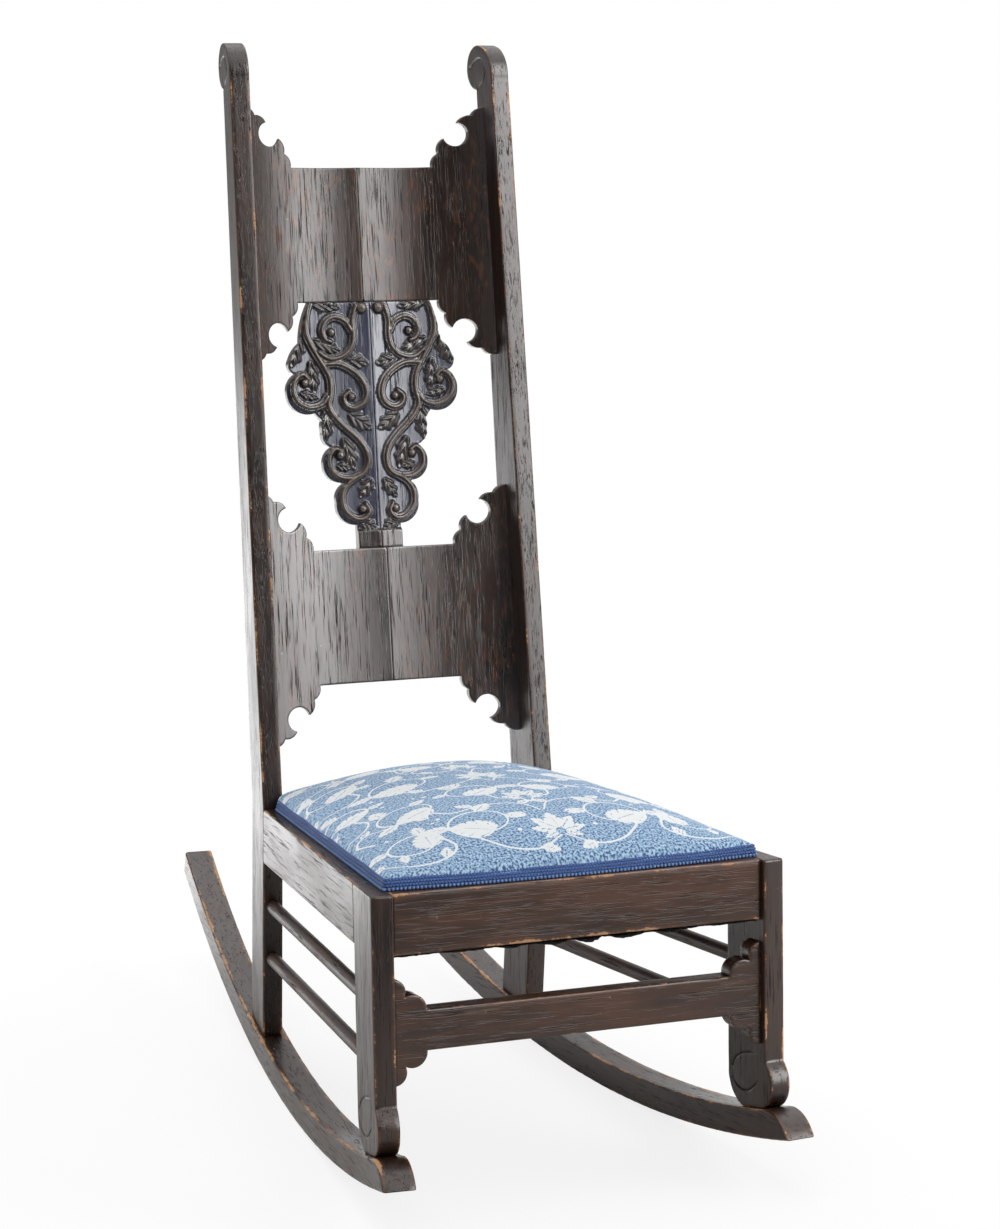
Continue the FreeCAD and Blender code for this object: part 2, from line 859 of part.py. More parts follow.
def build():
    """Every piece of the chair, in the level position."""
    pieces = {}
    blanks = {}
    dowels = []
    screws = []
    for side_name, side in SIDES.items():
        blanks["rocker_" + side_name] = rocker("rocker_blank_" + side_name, side)
        blanks["front_leg_" + side_name] = front_leg("leg_blank_" + side_name, side)
        blanks["rear_post_" + side_name] = rear_post("post_blank_" + side_name, side)
        blanks["side_rail_" + side_name] = side_rail("side_rail_blank_" + side_name, side)
        for level in ("upper", "lower"):
            name = "spindle_%s_%s" % (level, side_name)
            pieces[name] = spindle(name, side, named("spindle_" + level))
        dowels += side_dowels(side_name, side)
        dowels += cross_dowels("front", rail_recess, -rail_height / 2, named("dowel_pair"), side_name, side)
        dowels += cross_dowels("rear", rear_rail_front, -rail_height / 2, named("dowel_pair"), side_name, side)
        dowels += cross_dowels("stretcher", named("stretcher_recess"), -named("stretcher_middle"),
                               named("dowel_spread"), side_name, side)
        screws.append(screw("screw_front_" + side_name, side, (named("toe_set") + named("heel_set")) / 2))
        screws.append(screw("screw_rear_" + side_name, side, post_foot + post_depth / 2))
    blanks["front_rail"] = cross_rail("front_rail_blank", rail_recess)
    blanks["rear_rail"] = cross_rail("rear_rail_blank", rear_rail_front)
    legs = [blanks["front_leg_" + side_name] for side_name in SIDES]
    blanks["front_stretcher"] = stretcher("stretcher", legs)
    panels = []
    for side_name, side in SIDES.items():
        crest = panel("crest_panel_" + side_name, side, crest_middle, named("crest_bow"),
                      named("crest_hollow"), named("crest_joint"))
        lower = panel("lower_panel_" + side_name, side, named("lower_middle"), named("lower_bow"),
                      named("lower_hollow"), named("lower_joint"))
        pieces[crest.Name] = crest
        pieces[lower.Name] = lower
        panels += [crest, lower]
        pieces["splat_" + side_name] = splat("splat_" + side_name, side)
    holes = group("drillings", drills)
    holes_and_grooves = group("drillings_and_grooves", drills + panels)
    for name, blank in blanks.items():
        pieces[name] = cut(name, blank, holes_and_grooves if "post" in name else holes)
    pieces["rail_dowels"] = group("rail_dowels", dowels)
    pieces["rocker_screws"] = group("rocker_screws", screws)
    pieces["corner_blocks"] = corner_blocks("corner_blocks")
    pieces["seat_webbing"] = webbing("seat_webbing")
    pieces["seat_cushion"] = cushion("seat_cushion")
    pieces["seat_braid"] = braid("seat_braid")
    pieces["dust_cover"] = dust_cover("dust_cover")
    return pieces


def weight(name):
    """Weight of a piece for each cubic millimetre."""
    if name == "rocker_screws":
        return STEEL
    return STUFFING if name.startswith("seat") or name == "dust_cover" else OAK


def resting_place(pieces):
    """How the level chair leans and moves to stand at rest, its origin under its middle.

    It rests where its centre of mass lies straight below the centre of the rockers' arc, which
    the toe-in of the rockers shortens a little.
    """
    total = 0.0
    moment = Vector(0, 0, 0)
    for name, piece in pieces.items():
        for solid in piece.Shape.Solids:
            total += solid.Volume * weight(name)
            moment += solid.CenterOfMass * (solid.Volume * weight(name))
    centre = moment * (1 / total)
    along = named("rocker_centre") * cosine(toe_in) - board / 2 * sine(toe_in)
    arc_height = float(rocker_radius) * float(cosine(toe_in)) ** 2 - float(named("rocker_drop"))
    angle = math.degrees(math.atan((centre.y - float(along)) / (arc_height - centre.z)))
    print("centre of mass, level: %.1f back, %.1f up; weight %.2f kg; lean %.2f degrees"
          % (centre.y, centre.z, total / 1000, angle))
    leaned = Placement(Vector(0, 0, 0), Rotation(Vector(1, 0, 0), -angle))
    box_round = FreeCAD.BoundBox()
    for piece in pieces.values():
        shape = piece.Shape.copy()
        shape.Placement = leaned.multiply(shape.Placement)
        box_round.add(shape.optimalBoundingBox(False, False))
    leaned.Base = Vector(-box_round.Center.x, -box_round.Center.y, -box_round.ZMin)
    print("size: %.1f wide, %.1f deep, %.1f high" % (box_round.XLength, box_round.YLength, box_round.ZLength))
    return leaned


pieces = build()
doc.recompute()
failed = [item.Name for item in doc.Objects if {"Invalid", "Error"} & set(item.State)]
if failed:
    raise RuntimeError("these objects failed: " + ", ".join(failed))
rest = resting_place(pieces)
os.makedirs("parts", exist_ok=True)
for name, piece in pieces.items():
    piece.Label = name
    piece.Placement = rest.multiply(piece.Placement)
    shape = piece.Shape
    if shape.isNull() or not shape.isValid() or not shape.Solids:
        raise RuntimeError("this piece is not a valid solid: " + name)
    shape.exportStep("parts/%s.step" % name)
    print("%-20s %2d solids, %9.1f cubic mm" % (name, len(shape.Solids), shape.Volume))
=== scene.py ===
"""A bow-runner rocking chair in ebonised oak: open grain and rubbed edges on the boards, a carved
splat, a stuffed seat in printed cotton and a woven braid round its foot.

Shapes are worked out in millimetres in the level chair, as it stands before it leans back onto its
rockers: X to the sitter's left, Y back from the front corners, Z up from the top of the seat frame.
"""

import json
import math

import bpy
import numpy as np
from mathutils import Matrix, Vector
from mathutils.geometry import delaunay_2d_cdt

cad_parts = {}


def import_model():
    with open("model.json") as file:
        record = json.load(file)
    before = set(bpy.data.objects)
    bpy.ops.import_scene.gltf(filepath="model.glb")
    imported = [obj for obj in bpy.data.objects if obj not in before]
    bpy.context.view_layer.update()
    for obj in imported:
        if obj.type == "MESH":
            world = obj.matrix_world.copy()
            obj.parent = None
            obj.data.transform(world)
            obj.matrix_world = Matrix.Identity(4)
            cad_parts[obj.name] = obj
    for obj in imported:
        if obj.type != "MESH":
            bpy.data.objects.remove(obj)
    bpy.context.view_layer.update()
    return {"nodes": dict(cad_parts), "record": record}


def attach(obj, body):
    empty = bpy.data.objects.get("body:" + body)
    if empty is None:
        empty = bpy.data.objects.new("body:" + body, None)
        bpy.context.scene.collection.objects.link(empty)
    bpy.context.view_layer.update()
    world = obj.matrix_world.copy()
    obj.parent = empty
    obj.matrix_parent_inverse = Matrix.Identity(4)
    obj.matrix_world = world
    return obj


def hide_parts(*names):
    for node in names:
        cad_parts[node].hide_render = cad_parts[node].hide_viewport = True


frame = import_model()

# The level chair and its lean

BOARD = 22.0
FRONT_WIDTH = 432.0
TOE_IN = math.radians(5.3)
SEAT_DEPTH = 490.0
RAIL_HEIGHT = 60.0
RAIL_RECESS = 4.0
SIDES = {"left": 1, "right": -1}
MOUNT_ALONG = 281.0
MOUNT_HEIGHT = -30.0


def side_place(side, inset=0.0):
    """Puts (along the side, height, depth inwards from the outer face) into the chair."""
    def place(points):
        """Steps along the toed-in side and inwards from it."""
        along, height, depth = np.asarray(points, float).T
        depth = side * (depth + inset)
        x = side * FRONT_WIDTH / 2 - depth * math.cos(TOE_IN) - along * math.sin(side * TOE_IN)
        y = -depth * math.sin(side * TOE_IN) + along * math.cos(TOE_IN)
        return np.stack([x, y, height], 1)
    return place


def resting():
    """The chair's lean and place at rest, read off the mount on the middle of the left rail."""
    mount = [m for m in frame["record"]["mounts"] if m["name"] == "side_left"][0]
    lean = math.atan2(-mount["axis"][2], mount["axis"][1])
    turn = np.array([[1, 0, 0],
                     [0, math.cos(lean), math.sin(lean)],
                     [0, -math.sin(lean), math.cos(lean)]])
    level = side_place(1)([[MOUNT_ALONG, MOUNT_HEIGHT, 0.0]])[0]
    return turn, np.array(mount["pos_m"]) * 1000 - turn @ level


LEAN, PLACE = resting()


def world(points):
    """Points of the level chair in millimetres, as points of the resting chair in metres."""
    return (np.asarray(points, float) @ LEAN.T + PLACE) / 1000


# Camera and studio

CAMERA_AT = (-1147.2, -2729.15, 604.08)
CAMERA_YAW = 0.3725
CAMERA_PITCH = -0.1169
CAMERA_ROLL = -0.0157
LENS = 91.36
SENSOR = 36.0
NEAR_CLIP = 0.01


def camera():
    """The photograph's view of the level chair, leaned with it."""
    yaw, pitch, roll = CAMERA_YAW, CAMERA_PITCH, CAMERA_ROLL
    level = math.cos(pitch)
    forward = np.array([math.sin(yaw) * level, math.cos(yaw) * level, math.sin(pitch)])
    right = np.array([math.cos(yaw), -math.sin(yaw), 0.0])
    up = np.cross(right, forward)
    tilted = math.cos(roll) * right + math.sin(roll) * up
    head = math.cos(roll) * up - math.sin(roll) * right
    data = bpy.data.cameras.new("camera")
    data.sensor_width = SENSOR
    data.lens = LENS
    data.clip_start = NEAR_CLIP
    eye = bpy.data.objects.new("camera", data)
    bpy.context.scene.collection.objects.link(eye)
    axes = np.stack([tilted, head, -forward], 1)
    matrix = np.eye(4)
    matrix[:3, :3] = LEAN @ axes
    matrix[:3, 3] = world([CAMERA_AT])[0]
    eye.matrix_world = Matrix(matrix.tolist())
    bpy.context.scene.camera = eye


def lamp(name, at, aim, size, power):
    """A soft rectangular lamp that looks at a point, all in metres at rest; it never shows itself."""
    data = bpy.data.lights.new(name, "AREA")
    data.shape = "RECTANGLE"
    data.size, data.size_y = size
    data.energy = power
    body = bpy.data.objects.new(name, data)
    body.location = at
    body.rotation_euler = (Vector(aim) - Vector(at)).to_track_quat("-Z", "Y").to_euler()
    body.visible_camera = False
    body.visible_glossy = False
    bpy.context.scene.collection.objects.link(body)


WHITE = (1.0, 1.0, 1.0, 1.0)
UP = (0.0, 0.0, 1.0)
# In gloss the room is white, but brighter overhead, dark in front, dim behind and brightest in a card
# at the right
DARK_SIDE = (-0.05, -0.995, 0.08)
CARD_SIDE = (0.562, -0.72, 0.407)
BACK_SIDE = (-0.19, 0.98, 0.1)
SOFT_LIGHT = 0.5
# The paper ends in front of the chair, so that the dark room in front shows in the gloss
FLOOR_REACH = 7.0
FLOOR_FRONT = -1.75
FLOOR_DROP = -0.0002


def room():
    """The world: white to the camera, an even soft light, and in gloss the room as its strength."""
    world = bpy.data.worlds.new("studio")
    world.use_nodes = True
    w = Wiring(world.node_tree)
    w.nodes.clear()
    shown = w.nodes.new("ShaderNodeBackground")
    lit = w.nodes.new("ShaderNodeBackground")
    mix = w.nodes.new("ShaderNodeMixShader")
    out = w.nodes.new("ShaderNodeOutputWorld")
    path = w.nodes.new("ShaderNodeLightPath")
    way = w.nodes.new("ShaderNodeTexCoord").outputs["Generated"]
    for ground in (shown, lit):
        ground.inputs["Color"].default_value = WHITE
    lit.inputs["Strength"].default_value = SOFT_LIGHT
    gloss = w.math("MULTIPLY", w.ramp(w.towards(way, DARK_SIDE), 0.5, 0.98, 1.0, 0.04),
                   w.ramp(w.towards(way, UP), 0.35, 0.9, 1.0, 2.4))
    gloss = w.math("MULTIPLY", gloss, w.ramp(w.towards(way, BACK_SIDE), 0.7, 0.95, 1.0, 0.45))
    gloss = w.math("ADD", gloss, w.ramp(w.towards(way, CARD_SIDE), 0.9, 0.975, 0.0, 10.0))
    camera_ray = path.outputs["Is Camera Ray"]
    others = w.math("MULTIPLY", w.math("SUBTRACT", 1.0, camera_ray), gloss)
    w.put(shown.inputs["Strength"], w.math("ADD", camera_ray, others))
    mirrored = w.math("MAXIMUM", path.outputs["Is Glossy Ray"], path.outputs["Is Transmission Ray"])
    w.put(mix.inputs["Fac"], w.math("MAXIMUM", camera_ray, mirrored))
    w.put(mix.inputs[1], lit.outputs[0])
    w.put(mix.inputs[2], shown.outputs[0])
    w.put(out.inputs["Surface"], mix.outputs[0])
    bpy.context.scene.world = world


def studio():
    """A pale floor that shows white to the camera, under soft lamps in a white room."""
    lamp("lamp_right", (2.05, -1.45, 1.5), (0.0, 0.0, 0.6), (1.7, 1.3), 34.0)
    lamp("lamp_above", (-0.2, 0.2, 3.0), (0.0, 0.0, 0.3), (2.4, 2.4), 28.0)
    lamp("lamp_back", (-0.75, 3.0, 0.9), (0.0, 0.0, 0.5), (1.8, 2.4), 80.0)
    room()
    sheet = bpy.data.meshes.new("floor")
    plan = ((-FLOOR_REACH, FLOOR_FRONT), (FLOOR_REACH, FLOOR_FRONT),
            (FLOOR_REACH, FLOOR_REACH), (-FLOOR_REACH, FLOOR_REACH))
    corners = [(x, y, FLOOR_DROP) for x, y in plan]
    sheet.from_pydata(corners, [], [(0, 1, 2, 3)])
    floor = bpy.data.objects.new("floor", sheet)
    bpy.context.scene.collection.objects.link(floor)
    floor.data.materials.append(floor_paint())
    bpy.context.scene.view_settings.view_transform = "Standard"


def floor_paint():
    """White paper that fades to pure white away from the chair, and shines in gloss behind it."""
    paint, nodes, _, shader = new_material("floor_paper")
    w = Wiring(paint.node_tree)
    shader.inputs["Base Color"].default_value = (0.95, 0.94, 0.92, 1.0)
    shader.inputs["Roughness"].default_value = 0.9
    shader.inputs["Specular IOR Level"].default_value = 0.0
    glow = nodes.new("ShaderNodeEmission")
    path = nodes.new("ShaderNodeLightPath")
    place = nodes.new("ShaderNodeTexCoord").outputs["Object"]
    length = nodes.new("ShaderNodeVectorMath")
    length.operation = "LENGTH"
    w.put(length.inputs[0], place)
    mirrored = path.outputs["Is Glossy Ray"]
    behind = w.math("MULTIPLY", w.ramp(w.towards(place, (0.0, 1.0, 0.0)), 0.3, 1.2), mirrored)
    fade = w.ramp(length.outputs["Value"], 0.45, 1.3, 0.82, 1.0)
    share = w.math("ADD", w.math("MULTIPLY", fade, path.outputs["Is Camera Ray"]), behind)
    w.put(glow.inputs["Strength"], w.math("ADD", 1.0, w.math("MULTIPLY", mirrored, 2.0)))
    mix = nodes.new("ShaderNodeMixShader")
    w.put(mix.inputs["Fac"], share)
    w.put(mix.inputs[1], shader.outputs[0])
    w.put(mix.inputs[2], glow.outputs[0])
    w.put(nodes["Material Output"].inputs["Surface"], mix.outputs[0])
    return paint


# Node groups and materials

def new_material(name):
    """An empty material with its shader."""
    material = bpy.data.materials.new(name)
    material.use_nodes = True
    nodes, links = material.node_tree.nodes, material.node_tree.links
    return material, nodes, links, nodes["Principled BSDF"]


def new_group(name, inputs, outputs):
    """An empty node group with named sockets: (name, kind, value)."""
    group = bpy.data.node_groups.new(name, "ShaderNodeTree")
    for title, kind, value in inputs:
        socket = group.interface.new_socket(title, in_out="INPUT", socket_type="NodeSocket" + kind)
        if value is not None:
            socket.default_value = value
    for title, kind in outputs:
        group.interface.new_socket(title, in_out="OUTPUT", socket_type="NodeSocket" + kind)
    return group, group.nodes.new("NodeGroupInput"), group.nodes.new("NodeGroupOutput")


class Wiring:
    """Shorthand for the nodes of one tree; each method adds a node and gives back its output."""

    def __init__(self, tree):
        self.nodes, self.links = tree.nodes, tree.links

    def put(self, socket, value):
        """Links an output to the socket, or sets a plain value on it."""
        if isinstance(value, bpy.types.NodeSocket):
            self.links.new(value, socket)
        else:
            socket.default_value = value

    def math(self, operation, first, second=0.0, clamp=False):
        """One sum on two numbers."""
        node = self.nodes.new("ShaderNodeMath")
        node.operation = operation
        node.use_clamp = clamp
        self.put(node.inputs[0], first)
        self.put(node.inputs[1], second)
        return node.outputs[0]

    def noise(self, vector, scale, detail=3.0, roughness=0.55, distortion=0.0):
        """Cloudy noise from 0 to 1, with scale waves in a metre."""
        node = self.nodes.new("ShaderNodeTexNoise")
        self.put(node.inputs["Vector"], vector)
        for title, value in (("Scale", scale), ("Detail", detail), ("Roughness", roughness),
                             ("Distortion", distortion)):
            self.put(node.inputs[title], value)
        return node.outputs["Fac"]

    def stretch(self, vector, scale, turn=(0.0, 0.0, 0.0)):
        """The vector turned and scaled along each axis."""
        node = self.nodes.new("ShaderNodeMapping")
        self.put(node.inputs["Vector"], vector)
        node.inputs["Scale"].default_value = scale
        node.inputs["Rotation"].default_value = turn
        return node.outputs[0]

    def ramp(self, value, low, high, bottom=0.0, top=1.0):
        """A smooth step from bottom at low to top at high."""
        node = self.nodes.new("ShaderNodeMapRange")
        node.interpolation_type = "SMOOTHSTEP"
        self.put(node.inputs["Value"], value)
        for title, number in (("From Min", low), ("From Max", high), ("To Min", bottom), ("To Max", top)):
            self.put(node.inputs[title], number)
        return node.outputs["Result"]

    def mix(self, share, first, second):
        """Two colours, mixed by the share of the second."""
        node = self.nodes.new("ShaderNodeMix")
        node.data_type = "RGBA"
        self.put(node.inputs["Factor"], share)
        self.put(node.inputs[6], first)
        self.put(node.inputs[7], second)
        return node.outputs[2]

    def towards(self, vector, side):
        """How far the vector reaches in one direction."""
        node = self.nodes.new("ShaderNodeVectorMath")
        node.operation = "DOT_PRODUCT"
        self.put(node.inputs[0], vector)
        node.inputs[1].default_value = side
        return node.outputs["Value"]

    def attribute(self, name):
        """A named value of the mesh's points."""
        node = self.nodes.new("ShaderNodeAttribute")
        node.attribute_name = name
        return node

    def group(self, tree, **inputs):
        """A copy of a node group, fed by name."""
        node = self.nodes.new("ShaderNodeGroup")
        node.node_tree = tree
        for title, value in inputs.items():
            self.put(node.inputs[title.replace("_", " ")], value)
        return node

    def bump(self, height, strength, distance):
        """The surface's normal, roughened by a height of so many metres."""
        node = self.nodes.new("ShaderNodeBump")
        node.inputs["Strength"].default_value = strength
        node.inputs["Distance"].default_value = distance
        self.put(node.inputs["Height"], height)
        return node.outputs["Normal"]


def oak_grain():
    """Open oak grain along the first axis: long pores, growth bands and broad cloudy stain."""
    group, into, out = new_group("oak grain", [("Vector", "Vector", None)],
                                 [("Pores", "Float"), ("Bands", "Float"), ("Clouds", "Float")])
    w = Wiring(group)
    vector = into.outputs["Vector"]
    wander = w.noise(w.stretch(vector, (6.0, 18.0, 18.0)), 1.0, 2.0)
    fine = w.noise(w.stretch(vector, (26.0, 850.0, 850.0)), 1.0, 2.0, 0.6)
    coarse = w.noise(w.stretch(vector, (12.0, 230.0, 230.0)), 1.0, 3.0, 0.6)
    pores = w.math("MULTIPLY", w.ramp(fine, 0.5, 0.66), w.ramp(coarse, 0.4, 0.62))
    bands = w.noise(w.stretch(vector, (5.0, 150.0, 150.0)), 1.0, 2.0, 0.5)
    bands = w.ramp(w.math("ADD", bands, w.math("MULTIPLY", wander, 0.35)), 0.55, 0.85)
    clouds = w.noise(w.stretch(vector, (7.0, 22.0, 22.0)), 1.0, 3.0, 0.6)
    w.put(out.inputs["Pores"], pores)
    w.put(out.inputs["Bands"], bands)
    w.put(out.inputs["Clouds"], w.ramp(clouds, 0.38, 0.68))
    return group


def rubbed_edge():
    """Where the finish is rubbed off: near an arris, broken up by noise, and a few nicks."""
    sockets = [("Edge", "Float", 0.0), ("Vector", "Vector", None), ("Amount", "Float", 0.5)]
    group, into, out = new_group("rubbed edge", sockets, [("Rubbed", "Float"), ("Worn", "Float")])
    w = Wiring(group)
    vector = into.outputs["Vector"]
    patchy = w.math("MULTIPLY", w.noise(vector, 24.0, 3.0, 0.55), 3.0)
    ragged = w.math("MULTIPLY", w.noise(vector, 330.0, 3.0, 0.65), 1.3)
    level = w.math("ADD", w.math("ADD", patchy, ragged), -3.15)
    level = w.math("ADD", w.math("MULTIPLY", into.outputs["Edge"], 1.35), level)
    level = w.math("ADD", level, into.outputs["Amount"])
    w.put(out.inputs["Rubbed"], w.ramp(level, 0.3, 0.5))
    w.put(out.inputs["Worn"], w.ramp(level, -0.35, 0.4))
    return group


def ray_fleck():
    """Ray flecks: short lens-shaped streaks across the grain, in soft groups."""
    group, into, out = new_group("ray fleck", [("Vector", "Vector", None)], [("Fleck", "Float")])
    w = Wiring(group)
    vector = into.outputs["Vector"]
    streaks = w.noise(w.stretch(vector, (60.0, 170.0, 60.0), turn=(0.0, 0.0, 0.5)), 1.0, 2.0, 0.55, 0.6)
    groups = w.noise(w.stretch(vector, (9.0, 16.0, 9.0)), 1.0, 2.0)
    flecks = w.math("MULTIPLY", w.ramp(streaks, 0.5, 0.66), w.ramp(groups, 0.4, 0.62))
    w.put(out.inputs["Fleck"], flecks)
    return group


GRAIN = oak_grain()
RUBBED = rubbed_edge()
FLECK = ray_fleck()

# Colours of the wood and its finish
EBONY = (0.0085, 0.0062, 0.0055, 1.0)
BROWN = (0.06, 0.021, 0.008, 1.0)
PORE = (0.003, 0.0024, 0.0024, 1.0)
BARE_WOOD = (0.4, 0.22, 0.11, 1.0)
ORANGE = (0.15, 0.05, 0.012, 1.0)
NAVY = (0.009, 0.012, 0.033, 1.0)
# Painted highlight on the carving's highest crests
CREST_PAINTED_HIGHLIGHT = (0.2, 0.15, 0.12, 1.0)
DUST = (0.16, 0.14, 0.12, 1.0)
RAW_PALE = (0.3, 0.17, 0.08, 1.0)
RAW_WARM = (0.42, 0.26, 0.13, 1.0)
RAW_BAND = (0.24, 0.13, 0.06, 1.0)
RAW_PORE = (0.1, 0.055, 0.03, 1.0)
STEEL = (0.36, 0.35, 0.33, 1.0)
RUST = (0.13, 0.06, 0.03, 1.0)
# Colours of the cloths
JUTE = ((0.42, 0.31, 0.18, 1.0), (0.2, 0.13, 0.07, 1.0))
CAMBRIC = ((0.03, 0.027, 0.025, 1.0), (0.008, 0.007, 0.007, 1.0))
PRINT_DARK = (0.05, 0.1, 0.22, 1.0)
PRINT_BLUE = (0.24, 0.39, 0.58, 1.0)
PRINT_PALE = (0.47, 0.62, 0.76, 1.0)
PRINT_WHITE = (0.8, 0.82, 0.83, 1.0)
# The deepest braid blue is painted shade between its cords, and the picot blue is a painted highlight on
# the picots' crowns
BRAID_PAINTED_SHADE = (0.003, 0.012, 0.05, 1.0)
BRAID_BLUE = (0.014, 0.07, 0.27, 1.0)
BRAID_FADED = (0.04, 0.12, 0.33, 1.0)
PICOT_PAINTED_HIGHLIGHT = (0.13, 0.26, 0.52, 1.0)


def oak(name, brown=0.4, rub=0.0, fleck=0.0, gloss=0.27, shine=0.5, ground=False):
    """Ebonised oak: near-black stain over brown, open pores, rubbed edges, some dust and specks; on
    carving, a navy ground and a painted highlight on the highest crests.
    """
    material, _, links, shader = new_material(name)
    w = Wiring(material.node_tree)
    vector = w.attribute("grain").outputs["Vector"]
    edge = w.attribute("edge").outputs["Fac"]
    grain = w.group(GRAIN, Vector=vector)
    rubbed = w.group(RUBBED, Edge=edge, Vector=vector, Amount=rub)
    share = w.math("MULTIPLY", w.math("ADD", grain.outputs["Clouds"], 0.3), brown, clamp=True)
    colour = w.mix(share, EBONY, BROWN)
    colour = w.mix(w.math("MULTIPLY", grain.outputs["Bands"], 0.15 + 0.4 * brown), colour, BROWN)
    if fleck:
        flecks = w.group(FLECK, Vector=vector)
        colour = w.mix(w.math("MULTIPLY", flecks.outputs["Fleck"], fleck), colour, ORANGE)
    if ground:
        colour = w.mix(w.attribute("ground").outputs["Fac"], colour, NAVY)
        # Painted highlight: the highest fillets of the carving are lightened
        colour = w.mix(w.math("MULTIPLY", w.attribute("crest").outputs["Fac"], 0.55), colour, CREST_PAINTED_HIGHLIGHT)
    colour = w.mix(w.math("MULTIPLY", grain.outputs["Pores"], 0.8), colour, PORE)
    colour = w.mix(w.math("MULTIPLY", rubbed.outputs["Worn"], 0.4), colour, ORANGE)
    colour = w.mix(rubbed.outputs["Rubbed"], colour, BARE_WOOD)
    specks = w.ramp(w.noise(vector, 160.0, 1.0, 0.4), 0.79, 0.82)
    colour = w.mix(w.math("MULTIPLY", specks, 0.7), colour, DUST)
    links.new(colour, shader.inputs["Base Color"])
    rough = w.math("ADD", gloss, w.math("MULTIPLY", grain.outputs["Pores"], 0.3))
    rough = w.math("ADD", rough, w.math("MULTIPLY", grain.outputs["Clouds"], 0.08))
    rough = w.math("ADD", rough, w.math("MULTIPLY", rubbed.outputs["Rubbed"], 0.25), clamp=True)
    links.new(rough, shader.inputs["Roughness"])
    cut = w.attribute("cut").outputs["Fac"]
    level = w.ramp(w.math("MAXIMUM", grain.outputs["Pores"], cut), 0.0, 1.0, shine, 0.15)
    links.new(level, shader.inputs["Specular IOR Level"])
    height = w.math("ADD", w.math("MULTIPLY", grain.outputs["Pores"], -1.0),
                    w.math("MULTIPLY", grain.outputs["Bands"], 0.25))
    links.new(w.bump(height, 0.6, 0.00025), shader.inputs["Normal"])
    return material


def bare_oak():
    """Unstained oak, for the blocks and dowels inside the frame."""
    material, nodes, links, shader = new_material("oak_bare")
    w = Wiring(material.node_tree)
    place = nodes.new("ShaderNodeTexCoord").outputs["Object"]
    grain = w.group(GRAIN, Vector=place)
    colour = w.mix(grain.outputs["Clouds"], RAW_PALE, RAW_WARM)
    colour = w.mix(grain.outputs["Bands"], colour, RAW_BAND)
    links.new(w.mix(grain.outputs["Pores"], colour, RAW_PORE), shader.inputs["Base Color"])
    shader.inputs["Roughness"].default_value = 0.62
    links.new(w.bump(grain.outputs["Pores"], -0.4, 0.0002), shader.inputs["Normal"])
    return material


def dull_steel():
    """Screws gone dull, with a little rust."""
    material, nodes, links, shader = new_material("steel_dull")
    w = Wiring(material.node_tree)
    place = nodes.new("ShaderNodeTexCoord").outputs["Object"]
    rust = w.ramp(w.noise(place, 260.0, 4.0, 0.6), 0.5, 0.68)
    links.new(w.mix(rust, STEEL, RUST), shader.inputs["Base Color"])
    links.new(w.ramp(rust, 0.0, 1.0, 0.38, 0.8), shader.inputs["Roughness"])
    links.new(w.math("SUBTRACT", 1.0, rust), shader.inputs["Metallic"])
    return material


def thread_weave():
    """A plain weave: the height is the product of one sine across the cloth and one along it."""
    group, into, out = new_group("thread weave", [("Vector", "Vector", None), ("Pitch", "Float", 0.001)],
                                 [("Height", "Float")])
    w = Wiring(group)
    parts = group.nodes.new("ShaderNodeSeparateXYZ")
    w.put(parts.inputs[0], into.outputs["Vector"])
    turn = w.math("DIVIDE", 2 * math.pi, into.outputs["Pitch"])
    across = w.math("SINE", w.math("MULTIPLY", parts.outputs[0], turn))
    along = w.math("SINE", w.math("MULTIPLY", parts.outputs[1], turn))
    w.put(out.inputs["Height"], w.math("MULTIPLY", across, along))
    return group


WEAVE = thread_weave()


def woven(name, light, dark, pitch, rough=0.85):
    """A plain woven cloth seen close: threads in two tones, soft stains and a weave to feel."""
    material, nodes, links, shader = new_material(name)
    w = Wiring(material.node_tree)
    place = nodes.new("ShaderNodeTexCoord").outputs["Object"]
    weave = w.group(WEAVE, Vector=place, Pitch=pitch)
    stain = w.ramp(w.noise(place, 22.0, 4.0, 0.6), 0.35, 0.7)
    tone = w.math("MULTIPLY", w.math("ADD", weave.outputs["Height"], 1.0), 0.3)
    colour = w.mix(w.math("ADD", tone, w.math("MULTIPLY", stain, 0.4), clamp=True), dark, light)
    links.new(colour, shader.inputs["Base Color"])
    shader.inputs["Roughness"].default_value = rough
    shader.inputs["Specular IOR Level"].default_value = 0.2
    links.new(w.bump(weave.outputs["Height"], 0.5, 0.0003), shader.inputs["Normal"])
    return material


def printed_cotton():
    """Speckled blue cotton with a white print, whose edge is where the attribute crosses 0."""
    material, _, links, shader = new_material("cotton_printed")
    w = Wiring(material.node_tree)
    cloth = w.attribute("cloth").outputs["Vector"]
    ink = w.attribute("print").outputs["Fac"]
    weave = w.group(WEAVE, Vector=cloth, Pitch=0.0009)
    speckle = w.noise(cloth, 430.0, 1.0, 0.5)
    colour = w.mix(w.ramp(speckle, 0.4, 0.46), PRINT_DARK, PRINT_BLUE)
    colour = w.mix(w.ramp(speckle, 0.52, 0.6), colour, PRINT_PALE)
    ragged = w.math("ADD", ink, w.math("MULTIPLY", w.math("SUBTRACT", speckle, 0.5), 0.25))
    colour = w.mix(w.ramp(ragged, -0.25, 0.25), colour, PRINT_WHITE)
    links.new(colour, shader.inputs["Base Color"])
    shader.inputs["Roughness"].default_value = 0.8
    shader.inputs["Specular IOR Level"].default_value = 0.25
    shader.inputs["Sheen Weight"].default_value = 0.15
    links.new(w.bump(weave.outputs["Height"], 0.25, 0.00015), shader.inputs["Normal"])
    return material


